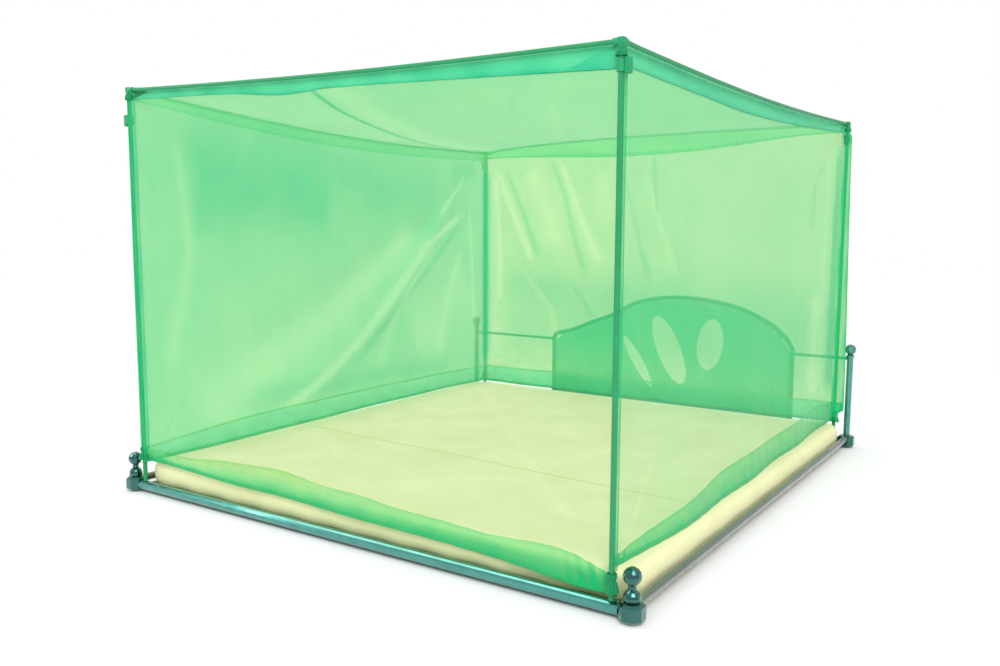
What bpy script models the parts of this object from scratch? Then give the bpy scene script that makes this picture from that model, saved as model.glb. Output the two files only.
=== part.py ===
"""A box-shaped mosquito net, hung inside a thin tube frame that stands on the rails of a low double bed.

Metres, +Z up. X runs across the bed and Y along it: the foot is at -Y and the head at +Y. The origin is
on the floor, under the middle of the bed.
"""

import bpy
import bmesh
from math import asin, cos, degrees, exp, hypot, pi, radians, sin, sqrt
from mathutils import Matrix, Vector

for old in list(bpy.data.objects):
    bpy.data.objects.remove(old, do_unlink=True)

# ---------------------------------------------------------------- driving sizes

GAP = 0.0003  # between faces that touch

BED_X = 0.9225  # bed post axes, from the middle
BED_Y = 1.000
RAIL_Z = 0.024  # axis of the foot and head rails
RAIL_RADIUS = 0.0155
SIDE_RAIL_Z = 0.036  # the side rails are thinner and sit higher
SIDE_RAIL_RADIUS = 0.0125
BLOCK_HALF = 0.030  # corner block, across its flats
BLOCK_HEIGHT = 0.048
BASE_TOP = 0.024  # top of the board that carries the mattress, well down between the rails

POST_X = 0.870  # canopy post axes
POST_Y = 1.000
POST_RADIUS = 0.007
ROD_RADIUS = 0.0055
JOINT_HALF = 0.0085  # corner joint, a small cube
COLLAR_LENGTH = 0.012
COLLAR_RADIUS = 0.0083

NET_X = 0.857  # middle of the side walls' cloth
NET_Y = 0.987  # middle of the foot and head walls' cloth
NET_THICK = 0.0012
BAND_THICK = 0.0015
PATCH_THICK = 0.0012
TOP_DROP = 0.003  # the net's top edge under the rod's axis
TOP_FLAT = 0.090  # the walls are stretched flat this far down
BAND_OUT = NET_THICK / 2 + GAP + BAND_THICK / 2  # middle of a heading band, outside its wall
PATCH_OUT = BAND_OUT + BAND_THICK / 2 + GAP + PATCH_THICK / 2

MATTRESS_X = 0.907
MATTRESS_Y = 0.972
MATTRESS_TOP = 0.1005

HEADBOARD_Y = 1.014
HEADBOARD_TUBE = 0.010
# The axis of the headboard's arch, across the bed and up. It stands off the middle and leans, as it shows.
HEADBOARD_ARCH = (
    (-0.467, 0.350),
    (-0.455, 0.368),
    (-0.430, 0.375),
    (-0.360, 0.393),
    (-0.260, 0.436),
    (-0.160, 0.472),
    (-0.080, 0.516),
    (0.010, 0.552),
    (0.180, 0.573),
    (0.336, 0.563),
    (0.477, 0.532),
    (0.594, 0.478),
    (0.660, 0.424),
    (0.687, 0.380),
)
HEADBOARD_ARMS = {"left": 0.342, "right": 0.362}  # height of the bar from each side of the arch to its post

# Each top corner: which side of the bed it is on, how high its joint is and how its tie and clamp sit.
# The frame is a little out of level, and the back left corner hangs lowest.
CORNERS = {
    # name: side x, side y, joint height, clamp drop, clamp turn (degrees), bottom tie low and high
    "foot_left": (-1, -1, 1.320, 0.0950, 180, 0.115, 0.155),
    "foot_right": (1, -1, 1.296, 0.0520, 0, 0.060, 0.105),
    "head_right": (1, 1, 1.295, 0.0600, 270, 0.102, 0.142),
    "head_left": (-1, 1, 1.243, 0.0600, 270, 0.102, 0.142),
}

# Each side of the canopy: the direction along it, the direction out of it, its two corners, how far its
# top rod is bowed and where the bow is deepest (1 is the middle, less is towards the first corner).
SIDES = {
    # name: along, out, first corner, last corner, bow, skew
    "foot": ((1, 0), (0, -1), "foot_left", "foot_right", -0.011, 1.00),
    "head": ((1, 0), (0, 1), "head_left", "head_right", 0.022, 0.64),
    "left": ((0, 1), (-1, 0), "foot_left", "head_left", -0.033, 1.00),
    "right": ((0, 1), (1, 0), "foot_right", "head_right", -0.018, 1.00),
}

# How deep each heading band hangs under its rod, along the side.
BAND_DEPTH = {
    "foot": ((-0.86, 0.026), (-0.41, 0.027), (-0.18, 0.040), (0.0, 0.031), (0.38, 0.038), (0.86, 0.054)),
    "head": ((-0.86, 0.030), (-0.44, 0.064), (-0.12, 0.082), (0.26, 0.074), (0.68, 0.036), (0.86, 0.030)),
    "left": ((-0.98, 0.030), (-0.50, 0.040), (0.10, 0.044), (0.98, 0.034)),
    "right": ((-0.98, 0.042), (-0.48, 0.045), (-0.20, 0.050), (0.25, 0.045), (0.98, 0.032)),
}

# Where each border starts and where its hem is, along the side.
BORDER = {
    # name: rows of (place, seam height, hem height, how far the hem stands out)
    "foot": (
        (-0.86, 0.150, 0.108, 0.000),
        (-0.62, 0.153, 0.108, 0.004),
        (-0.42, 0.170, 0.106, 0.004),
        (-0.25, 0.175, 0.104, 0.003),
        (0.00, 0.160, 0.095, 0.003),
        (0.24, 0.149, 0.087, 0.003),
        (0.42, 0.134, 0.078, 0.002),
        (0.60, 0.130, 0.062, 0.000),
        (0.76, 0.127, 0.048, 0.000),
        (0.86, 0.096, 0.046, 0.000),
    ),
    "head": ((-0.86, 0.180, 0.100, 0.0), (0.0, 0.186, 0.098, 0.003), (0.86, 0.182, 0.100, 0.0)),
    "left": (
        (-0.98, 0.160, 0.106, 0.000),
        (-0.55, 0.186, 0.104, 0.006),
        (0.00, 0.190, 0.104, 0.018),
        (0.60, 0.186, 0.103, 0.022),
        (0.98, 0.180, 0.104, 0.000),
    ),
    "right": (
        (-0.98, 0.130, 0.104, 0.000),
        (-0.75, 0.150, 0.1035, 0.022),
        (-0.50, 0.163, 0.1035, 0.026),
        (-0.20, 0.184, 0.1035, 0.022),
        (0.30, 0.186, 0.1035, 0.012),
        (0.80, 0.196, 0.1035, 0.004),
        (0.98, 0.180, 0.104, 0.000),
    ),
}
FLARE_START = 0.330  # the walls begin to swing out to the hem below this height

# The main creases, each a soft ridge along three points, narrow at its first and wide at its last.
CREASES = (
    # side, (place, height) three times, width, how far it stands out
    ("left", (0.80, 1.08), (0.19, 0.51), (-0.41, 0.17), 0.070, -0.020),
    ("left", (0.72, 1.00), (-0.18, 0.54), (-0.96, 0.22), 0.130, 0.016),
    ("left", (0.86, 1.02), (0.62, 0.44), (0.43, 0.18), 0.100, 0.012),
    ("head", (-0.79, 1.14), (-0.60, 0.73), (-0.50, 0.52), 0.060, -0.014),
    ("head", (-0.50, 1.14), (-0.37, 0.87), (-0.21, 0.59), 0.070, -0.014),
    ("head", (-0.03, 1.12), (0.06, 0.76), (0.14, 0.50), 0.070, -0.012),
    ("right", (0.94, 1.10), (0.92, 0.60), (0.93, 0.20), 0.060, -0.008),
    ("foot", (0.80, 0.20), (0.62, 0.36), (0.40, 0.62), 0.080, -0.007),
)

# The slow waves that each wall hangs in: height, length and start.
WAVES = {
    "foot": (0.003, 0.62, 0.4),
    "head": (0.005, 0.44, 1.1),
    "left": (0.003, 0.58, 0.0),
    "right": (0.004, 0.52, 2.0),
}

ROOF_SAG = 0.042
# The valley in the roof, from the foot rod to the back left corner.
ROOF_CREASE = ((-0.14, -0.97), (-0.85, 0.97))
ROOF_CREASE_DEPTH = 0.016
ROOF_CREASE_WIDTH = 0.075

# ---------------------------------------------------------------- materials


def material(name, colour, roughness, metallic=0.0):
    """A Principled material. colour is linear red, green and blue."""
    made = bpy.data.materials.new(name)
    made.use_nodes = True
    shader = made.node_tree.nodes["Principled BSDF"]
    shader.inputs["Base Color"].default_value = (*colour, 1.0)
    shader.inputs["Roughness"].default_value = roughness
    shader.inputs["Metallic"].default_value = metallic
    made.diffuse_color = (*colour, 1.0)
    return made


NETTING = material("green_netting", (0.25, 0.72, 0.33), 0.8)
BORDER_CLOTH = material("green_border_cloth", (0.06, 0.52, 0.20), 0.8)
TIE_TAPE = material("green_tape", (0.02, 0.33, 0.15), 0.7)
FRAME_TUBE = material("green_frame_tube", (0.03, 0.30, 0.16), 0.35, 0.6)
FRAME_PLASTIC = material("green_plastic", (0.01, 0.20, 0.13), 0.45)
BED_CHROME = material("plated_bed_tube", (0.05, 0.28, 0.23), 0.18, 1.0)
SIDE_RAIL_METAL = material("grey_side_rail", (0.28, 0.33, 0.27), 0.3, 1.0)
HEADBOARD_METAL = material("painted_headboard", (0.04, 0.26, 0.16), 0.4, 0.3)
BOARD = material("plywood", (0.45, 0.33, 0.19), 0.7)
SHEETED_MATTRESS = material("pale_yellow_sheet", (0.83, 0.81, 0.50), 0.85)

# ---------------------------------------------------------------- making shapes


def add(name, mesh, made_of):
    """An object of this name with one material."""
    obj = bpy.data.objects.new(name, mesh)
    mesh.materials.clear()
    mesh.materials.append(made_of)
    bpy.context.scene.collection.objects.link(obj)
    return obj


def finished(bm, name, sharp=radians(35)):
    """A mesh from bm, with its faces turned outward and its round sides smooth."""
    bmesh.ops.recalc_face_normals(bm, faces=bm.faces)
    mesh = bpy.data.meshes.new(name)
    bm.to_mesh(mesh)
    bm.free()
    mesh.shade_smooth()
    mesh.set_sharp_from_angle(angle=sharp)
    return mesh


def turned(name, profile, sides, at, made_of, turn=0.0, axis="Z"):
    """A solid turned from (radius, height) rows, bottom to top. A last radius of 0 closes to a point."""
    bm = bmesh.new()
    rings = []
    for radius, height in profile:
        if radius == 0.0:
            rings.append([bm.verts.new((0.0, 0.0, height))])
            continue
        angles = [turn + 2 * pi * i / sides for i in range(sides)]
        rings.append([bm.verts.new((radius * cos(a), radius * sin(a), height)) for a in angles])
    for low, high in zip(rings, rings[1:]):
        for i in range(sides):
            j = (i + 1) % sides
            if len(high) == 1:
                bm.faces.new((low[i], low[j], high[0]))
            else:
                bm.faces.new((low[i], low[j], high[j], high[i]))
    bm.faces.new(rings[0])
    if len(rings[-1]) > 1:
        bm.faces.new(rings[-1])
    turns = {"Z": Matrix(), "X": Matrix.Rotation(pi / 2, 4, "Y"), "Y": Matrix.Rotation(-pi / 2, 4, "X")}
    bm.transform(turns[axis])
    obj = add(name, finished(bm, name), made_of)
    obj.location = at
    return obj


def rod_between(name, start, end, radius, sides, made_of):
    """A straight round bar along one axis, from start to end."""
    span = Vector(end) - Vector(start)
    axis = "XYZ"[max(range(3), key=lambda i: abs(span[i]))]
    low = start if span["XYZ".index(axis)] > 0 else end
    return turned(name, [(radius, 0.0), (radius, span.length)], sides, low, made_of, axis=axis)


def tube_along(name, points, radius, made_of, sides_each_quarter):
    """A round bar along a list of points, with closed ends."""
    curve = bpy.data.curves.new(name, "CURVE")
    curve.dimensions = "3D"
    curve.bevel_depth = radius
    curve.bevel_resolution = sides_each_quarter
    curve.use_fill_caps = True
    spline = curve.splines.new("POLY")
    spline.points.add(len(points) - 1)
    for point, place in zip(spline.points, points):
        point.co = (*place, 1.0)
    obj = bpy.data.objects.new(name, curve)
    curve.materials.append(made_of)
    bpy.context.scene.collection.objects.link(obj)
    return obj


def soft_block(name, size, at, chamfer, made_of):
    """A block with chamfered edges, size and at along X, Y and Z."""
    bm = bmesh.new()
    bmesh.ops.create_cube(bm, size=1.0, matrix=Matrix.Diagonal((*size, 1.0)))
    bmesh.ops.bevel(bm, geom=bm.edges[:], offset=chamfer, segments=1, affect="EDGES")
    obj = add(name, finished(bm, name), made_of)
    obj.location = at
    return obj


def combined(base, tools, operation):
    """Joins tools to base, or cuts them from it, and removes the tools."""
    for tool in tools:
        change = base.modifiers.new(tool.name, "BOOLEAN")
        change.operation = operation
        change.object = tool
        change.solver = "EXACT"
    bpy.context.view_layer.update()
    result = base.evaluated_get(bpy.context.evaluated_depsgraph_get())
    mesh = bpy.data.meshes.new_from_object(result)
    base.modifiers.clear()
    base.data = mesh
    for tool in tools:
        bpy.data.objects.remove(tool, do_unlink=True)
    return base


def between(rows, place):
    """The height at place on a smooth curve through (place, height) rows."""
    last = len(rows) - 1
    if place <= rows[0][0]:
        return rows[0][1]
    if place >= rows[last][0]:
        return rows[last][1]
    i = max(k for k in range(last) if rows[k][0] <= place)

    def slope(k):
        left, right = rows[max(k - 1, 0)], rows[min(k + 1, last)]
        return (right[1] - left[1]) / (right[0] - left[0])

    (x0, y0), (x1, y1) = rows[i], rows[i + 1]
    step = x1 - x0
    t = (place - x0) / step
    return (
        y0 * (1 + 2 * t) * (1 - t) ** 2
        + slope(i) * step * t * (1 - t) ** 2
        + y1 * t * t * (3 - 2 * t)
        - slope(i + 1) * step * t * t * (1 - t)
    )


def ease(value):
    """0 below 0, 1 above 1 and smooth between."""
    t = min(max(value, 0.0), 1.0)
    return t * t * (3 - 2 * t)


def spread(low, high, count):
    """count + 1 places from low to high."""
    return [low + (high - low) * i / count for i in range(count + 1)]


def sheet(name, surface, columns, rows, thick, out, made_of):
    """A closed sheet of cloth. surface(column, row) is its middle, and out is the way it is thick."""
    bm = bmesh.new()
    lift = Vector(out) * thick / 2
    skins = []
    for sign in (1, -1):
        grid = [[bm.verts.new(Vector(surface(c, r)) + lift * sign) for r in rows] for c in columns]
        skins.append(grid)
        for i in range(len(columns) - 1):
            for j in range(len(rows) - 1):
                bm.faces.new((grid[i][j], grid[i + 1][j], grid[i + 1][j + 1], grid[i][j + 1]))
    outer, inner = skins
    last_c, last_r = len(columns) - 1, len(rows) - 1
    rim = [(i, 0) for i in range(last_c)] + [(last_c, j) for j in range(last_r)]
    rim += [(i, last_r) for i in range(last_c, 0, -1)] + [(0, j) for j in range(last_r, 0, -1)]
    for (i, j), (k, m) in zip(rim, rim[1:] + rim[:1]):
        bm.faces.new((outer[i][j], outer[k][m], inner[k][m], inner[i][j]))
    return add(name, finished(bm, name), made_of)


def wound(name, at, inner, rows, sides, made_of, face, lumps=0.0):
    """A ring of wound cloth round a post. rows are (radius, height, tilt); face is the way its flat side
    looks, where it keeps its row's radius, and lumps is how much it swells away from that side."""
    bm = bmesh.new()
    low, high = rows[0][1], rows[-1][1]
    section = [(inner, low, 0.0)] + list(rows) + [(inner, high, 0.0)]
    rings = []
    for i in range(sides):
        angle = 2 * pi * i / sides
        away = (1 - cos(angle - face)) / 2
        ring = []
        for k, (radius, height, tilt) in enumerate(section):
            if 0 < k < len(section) - 1:
                radius += away * (lumps + 0.35 * lumps * sin(4 * angle + 2 * k))
                height += tilt * cos(angle)
            ring.append(bm.verts.new((radius * cos(angle), radius * sin(angle), height)))
        rings.append(ring)
    for ring, after in zip(rings, rings[1:] + rings[:1]):
        for k in range(len(section)):
            m = (k + 1) % len(section)
            bm.faces.new((ring[k], ring[m], after[m], after[k]))
    obj = add(name, finished(bm, name), made_of)
    obj.location = at
    return obj


# ---------------------------------------------------------------- where the net is


def rod_height(side, place):
    """Height of a side's top rod at a place along it."""
    along, _, first, last, bow, skew = SIDES[side]
    half = POST_X if along[0] else POST_Y
    u = min(max((place / half + 1) / 2, 0.0), 1.0)
    start, end = CORNERS[first][2], CORNERS[last][2]
    return start + (end - start) * u + bow * sin(pi * u**skew)


def net_top(side, place):
    return rod_height(side, place) - TOP_DROP


def crease_out(crease, place, height):
    """How far one crease moves the cloth at a point."""
    _, *points, width, stands = crease
    lengths = [hypot(b[0] - a[0], b[1] - a[1]) for a, b in zip(points, points[1:])]
    nearest, where, gone = None, 0.0, 0.0
    for a, b, length in zip(points, points[1:], lengths):
        t = ((place - a[0]) * (b[0] - a[0]) + (height - a[1]) * (b[1] - a[1])) / length**2
        t = min(max(t, 0.0), 1.0)
        reach = hypot(place - a[0] - t * (b[0] - a[0]), height - a[1] - t * (b[1] - a[1]))
        if nearest is None or reach < nearest:
            nearest, where = reach, (gone + t * length) / sum(lengths)
        gone += length
    spread_here = width * (0.4 + 0.6 * where)
    return stands * ease(where / 0.2) * ease((1 - where) / 0.15) * exp(-((nearest / spread_here) ** 2))


def seam_height(side, place):
    return between([(row[0], row[1]) for row in BORDER[side]], place)


def hem_height(side, place):
    return between([(row[0], row[2]) for row in BORDER[side]], place)


def cloth_out(side, place, height):
    """How far a wall's cloth stands out of its plane."""
    half = NET_X if SIDES[side][0][0] else NET_Y
    edge = ease((half - abs(place)) / 0.075)
    down = ease((net_top(side, place) - TOP_FLAT - height) / 0.15)
    folds = sum(crease_out(row, place, height) for row in CREASES if row[0] == side)
    swell, length, start = WAVES[side]
    folds += swell * sin(2 * pi * place / length + start)
    hem = hem_height(side, place)
    swing = min(max((FLARE_START - height) / (FLARE_START - hem), 0.0), 1.0)
    flare = between([(row[0], row[3]) for row in BORDER[side]], place) * swing**2
    return edge * (down * folds + flare)


def on_side(side, place, height, out):
    """The point at a place along a side, a height and a distance out of its cloth's plane."""
    along, outward = SIDES[side][:2]
    plane = NET_Y if along[0] else NET_X
    x = along[0] * place + outward[0] * (plane + out)
    y = along[1] * place + outward[1] * (plane + out)
    return (x, y, height)


def outward_of(side):
    return (*SIDES[side][1], 0.0)


def cut_half(side, layer_inside, layer_outside):
    """Half the length of a cloth strip. Foot and head strips fit between the side walls' strips, which
    reach past them to the outer face of the layer on the foot and head walls."""
    if SIDES[side][0][0]:
        return NET_X + layer_inside - GAP
    return NET_Y + layer_outside


# ---------------------------------------------------------------- the net


def make_wall(side, columns, rows):
    half = cut_half(side, -NET_THICK / 2, NET_THICK / 2)
    places = spread(-half, half, columns)
    seam_gap = 0.0004

    def wall(place, part):
        """part runs from 0 at the border's seam to 1 where the flat strip behind the band starts."""
        top = net_top(side, place)
        low = seam_height(side, place) + seam_gap
        height = top if part > 1 else low + (top - TOP_FLAT - low) * part
        return on_side(side, place, height, cloth_out(side, place, height))

    def border(place, part):
        low, high = hem_height(side, place), seam_height(side, place)
        height = low + (high - low) * part
        return on_side(side, place, height, cloth_out(side, place, height))

    parts = spread(0, 1, rows) + [2]
    sheet(f"net_wall_{side}", wall, places, parts, NET_THICK, outward_of(side), NETTING)
    sheet(f"border_{side}", border, places, spread(0, 1, 2), NET_THICK, outward_of(side), BORDER_CLOTH)


def make_heading_band(side, columns):
    outside = BAND_OUT + BAND_THICK / 2
    half = cut_half(side, BAND_OUT - BAND_THICK / 2, outside)

    def band(place, part):
        top = net_top(side, place)
        return on_side(side, place, top - between(BAND_DEPTH[side], place) * (1 - part), BAND_OUT)

    places = spread(-half, half, columns)
    sheet(f"heading_band_{side}", band, places, (0, 1), BAND_THICK, outward_of(side), BORDER_CLOTH)


def roof_height(x, y):
    """The roof hangs from its four edges, sags between them and has one valley."""
    u, v = (x / NET_X + 1) / 2, (y / NET_Y + 1) / 2
    foot, head = net_top("foot", x), net_top("head", x)
    left, right = net_top("left", y), net_top("right", y)
    corner = {name: row[2] - TOP_DROP for name, row in CORNERS.items()}
    flat = (1 - u) * ((1 - v) * corner["foot_left"] + v * corner["head_left"])
    flat += u * ((1 - v) * corner["foot_right"] + v * corner["head_right"])
    hung = (1 - v) * foot + v * head + (1 - u) * left + u * right - flat
    (ax, ay), (bx, by) = ROOF_CREASE
    length = hypot(bx - ax, by - ay)
    t = ((x - ax) * (bx - ax) + (y - ay) * (by - ay)) / length**2
    off = ((x - ax) * (by - ay) - (y - ay) * (bx - ax)) / length
    middle = 16 * u * (1 - u) * v * (1 - v)
    valley = ROOF_CREASE_DEPTH * exp(-((off / ROOF_CREASE_WIDTH) ** 2)) * min(1.0, 4 * middle)
    return hung - ROOF_SAG * middle - valley * ease(t / 0.15) * ease((1 - t) / 0.15)


def make_roof(count):
    edge = NET_THICK / 2 + 0.0004
    lower = 0.0015  # the roof's edge lies against the walls, just under their top edges

    def roof(x, y):
        return (x, y, roof_height(x, y) - lower)

    across = spread(-NET_X + edge, NET_X - edge, count)
    down = spread(-NET_Y + edge, NET_Y - edge, count)
    sheet("net_roof", roof, across, down, NET_THICK, (0, 0, 1), NETTING)


def make_patch(name, side, corners):
    """A triangle of doubled cloth on a heading band, from (place, distance under the net's top) rows."""
    bm = bmesh.new()
    faces = []
    for out in (PATCH_OUT - PATCH_THICK / 2, PATCH_OUT + PATCH_THICK / 2):
        points = [on_side(side, place, net_top(side, place) - drop, out) for place, drop in corners]
        faces.append([bm.verts.new(point) for point in points])
    inner, outer = faces
    bm.faces.new(inner)
    bm.faces.new(outer)
    for i in range(3):
        j = (i + 1) % 3
        bm.faces.new((inner[i], inner[j], outer[j], outer[i]))
    add(name, finished(bm, name), BORDER_CLOTH)


def make_net():
    make_roof(16)
    for side, columns, rows in (("foot", 16, 8), ("right", 16, 8), ("head", 22, 10), ("left", 22, 10)):
        make_wall(side, columns, rows)
        make_heading_band(side, 16)
    make_patch("corner_patch_foot_left", "foot", ((-0.856, 0.002), (-0.856, 0.022), (-0.782, 0.003)))
    make_patch("corner_patch_foot_right", "foot", ((0.853, 0.002), (0.853, 0.052), (0.720, 0.046)))
    make_patch("corner_patch_head_right", "right", ((0.978, 0.002), (0.978, 0.056), (0.925, 0.006)))
    make_patch("corner_patch_head_left", "left", ((0.978, 0.002), (0.978, 0.050), (0.880, 0.008)))


def make_ties():
    """Tape wound round each post holds the net's top corners, and its bottom corners are bound below."""
    tape_inner = COLLAR_RADIUS + 0.0005  # it is wound over the corner joint's collar
    tape_start, tape_turn = 0.033, 0.0036  # first turn under the joint's middle, and each turn after it
    corner_x = POST_X - NET_X
    corner_y = POST_Y - NET_Y
    top_reach = hypot(corner_x - BAND_OUT - BAND_THICK / 2, corner_y - BAND_OUT - BAND_THICK / 2) - GAP
    bottom_reach = hypot(corner_x - NET_THICK / 2, corner_y - NET_THICK / 2) - GAP
    for name, (side_x, side_y, height, _, _, low, high) in CORNERS.items():
        face = Vector((-side_x, -side_y)).angle_signed(Vector((1, 0)))
        at = (side_x * POST_X, side_y * POST_Y, 0.0)
        ridges = []
        for k, share in enumerate((0.86, 1.0, 0.84, 1.0, 0.84, 1.0, 0.86)):
            tilt = 0.0 if k in (0, 6) else (0.0016 if k % 4 < 2 else -0.0016)
            ridges.append((top_reach * share, height - tape_start + tape_turn * k, tilt))
        wound(f"tie_top_{name}", at, tape_inner, ridges, 12, TIE_TAPE, face, 0.001)
        part = (high - low) / 5
        gathers = [
            (bottom_reach * share, low + part * k, 0.0)
            for k, share in enumerate((0.72, 0.97, 0.82, 1.0, 0.95, 0.66))
        ]
        wound(f"tie_bottom_{name}", at, POST_RADIUS + GAP, gathers, 12, BORDER_CLOTH, face, 0.003)


# ---------------------------------------------------------------- the frame


def make_frame():
    post_foot = RAIL_Z + RAIL_RADIUS + GAP
    for name, (side_x, side_y, height, drop, turn, _, _) in CORNERS.items():
        x, y = side_x * POST_X, side_y * POST_Y
        top = height - JOINT_HALF - COLLAR_LENGTH - GAP
        rod_between(f"canopy_post_{name}", (x, y, post_foot), (x, y, top), POST_RADIUS, 12, FRAME_TUBE)
        make_corner_joint(f"corner_joint_{name}", x, y, height, side_x, side_y)
        make_clamp(f"post_clamp_{name}", x, y, height - drop, radians(turn))
    reach = JOINT_HALF + COLLAR_LENGTH + GAP
    straight = 0.015  # each rod leaves its collars straight, then bows
    for side, (along, outward, first, last, *_) in SIDES.items():
        half = (POST_X if along[0] else POST_Y) - reach
        plane = POST_Y if along[0] else POST_X
        start, end = CORNERS[first][2], CORNERS[last][2]
        bowed = spread(-half + 4 * straight, half - 4 * straight, 8)
        line = [(-half, start), (-half + straight, start)]
        line += [(place, rod_height(side, place)) for place in bowed]
        line += [(half - straight, end), (half, end)]
        points = []
        for place, height in line:
            x = along[0] * place + outward[0] * plane
            y = along[1] * place + outward[1] * plane
            points.append((x, y, height))
        tube_along(f"top_rod_{side}", points, ROD_RADIUS, FRAME_TUBE, 2)


def make_corner_joint(name, x, y, height, side_x, side_y):
    """A small cube with a collar down to the post and one along each rod."""
    size = 2 * JOINT_HALF
    joint = soft_block(name, (size, size, size), (x, y, height), 0.0018, FRAME_PLASTIC)
    reach = JOINT_HALF + COLLAR_LENGTH
    middle = (x, y, height)
    ends = ((x, y, height - reach), (x - side_x * reach, y, height), (x, y - side_y * reach, height))
    collars = []
    for k, end in enumerate(ends):
        collar = rod_between(f"{name}_collar_{k}", end, middle, COLLAR_RADIUS, 12, FRAME_PLASTIC)
        collars.append(collar)
    return combined(joint, collars, "UNION")


def make_clamp(name, x, y, height, turn):
    """A sleeve round the post with a block for its thumbscrew."""
    inner, outer, half = POST_RADIUS + GAP, 0.0108, 0.013
    block_size = (0.0155, 0.013, 0.036)
    block_away = 0.0168  # middle of the block, from the post's axis
    bm = bmesh.new()
    sides = 14
    section = ((inner, -half), (outer, -half), (outer, half), (inner, half))
    rings = []
    for i in range(sides):
        angle = 2 * pi * i / sides
        rings.append([bm.verts.new((r * cos(angle), r * sin(angle), z)) for r, z in section])
    for ring, after in zip(rings, rings[1:] + rings[:1]):
        for k in range(4):
            m = (k + 1) % 4
            bm.faces.new((ring[k], ring[m], after[m], after[k]))
    clamp = add(name, finished(bm, name), FRAME_PLASTIC)
    clamp.location = (x, y, height)
    at = (x + block_away * cos(turn), y + block_away * sin(turn), height)
    block = soft_block(f"{name}_block", block_size, at, 0.002, FRAME_PLASTIC)
    block.rotation_euler = (0, 0, turn)
    return combined(clamp, [block], "UNION")


# ---------------------------------------------------------------- the bed


def ball(radius, centre, low, high, count):
    """Profile rows of a ball between two angles, in degrees from its equator."""
    angles = [radians(low + (high - low) * i / count) for i in range(count + 1)]
    return [(radius * cos(a), centre + radius * sin(a)) for a in angles]


def make_bed_corners():
    flats = BLOCK_HALF / cos(pi / 8)
    block = [(0.62 * flats, 0.0), (flats, 0.010), (flats, 0.042), (0.80 * flats, BLOCK_HEIGHT)]
    base = BLOCK_HEIGHT + GAP
    finial = ball(0.0215, 0.0590, degrees(asin((base - 0.0590) / 0.0215)), 60, 5)  # it is sunk into the block
    finial += [(0.0098, 0.0820), (0.0098, 0.0870)] + ball(0.0225, 0.1095, -60, 70, 6) + [(0.0, 0.1320)]
    head_post = [(0.0125, base), (0.0125, 0.3700), (0.0160, 0.3715), (0.0160, 0.3770), (0.0100, 0.3790)]
    head_post += ball(0.0215, 0.4005, -55, 70, 6) + [(0.0, 0.4220)]
    for name, (side_x, side_y, *_) in CORNERS.items():
        at = (side_x * BED_X, side_y * BED_Y, 0.0)
        turned(f"corner_block_{name}", block, 8, at, BED_CHROME, turn=pi / 8)
        end, side = name.split("_")
        if end == "foot":
            turned(f"finial_foot_{side}", finial, 16, at, BED_CHROME)
        else:
            turned(f"head_post_{side}", head_post, 16, at, BED_CHROME)


def make_rails():
    across, down = BED_X - BLOCK_HALF - GAP, BED_Y - BLOCK_HALF - GAP
    for name, y in (("foot_rail", -BED_Y), ("head_rail", BED_Y)):
        rod_between(name, (-across, y, RAIL_Z), (across, y, RAIL_Z), RAIL_RADIUS, 16, BED_CHROME)
    for name, x in (("side_rail_left", -BED_X), ("side_rail_right", BED_X)):
        low, high = (x, -down, SIDE_RAIL_Z), (x, down, SIDE_RAIL_Z)
        rod_between(name, low, high, SIDE_RAIL_RADIUS, 16, SIDE_RAIL_METAL)


def under_arch(x, distance):
    """The height of a point under the arch's axis, this far from it."""
    step = 0.002
    slope = (between(HEADBOARD_ARCH, x + step) - between(HEADBOARD_ARCH, x - step)) / (2 * step)
    return between(HEADBOARD_ARCH, x) - distance * hypot(1.0, slope)


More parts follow.
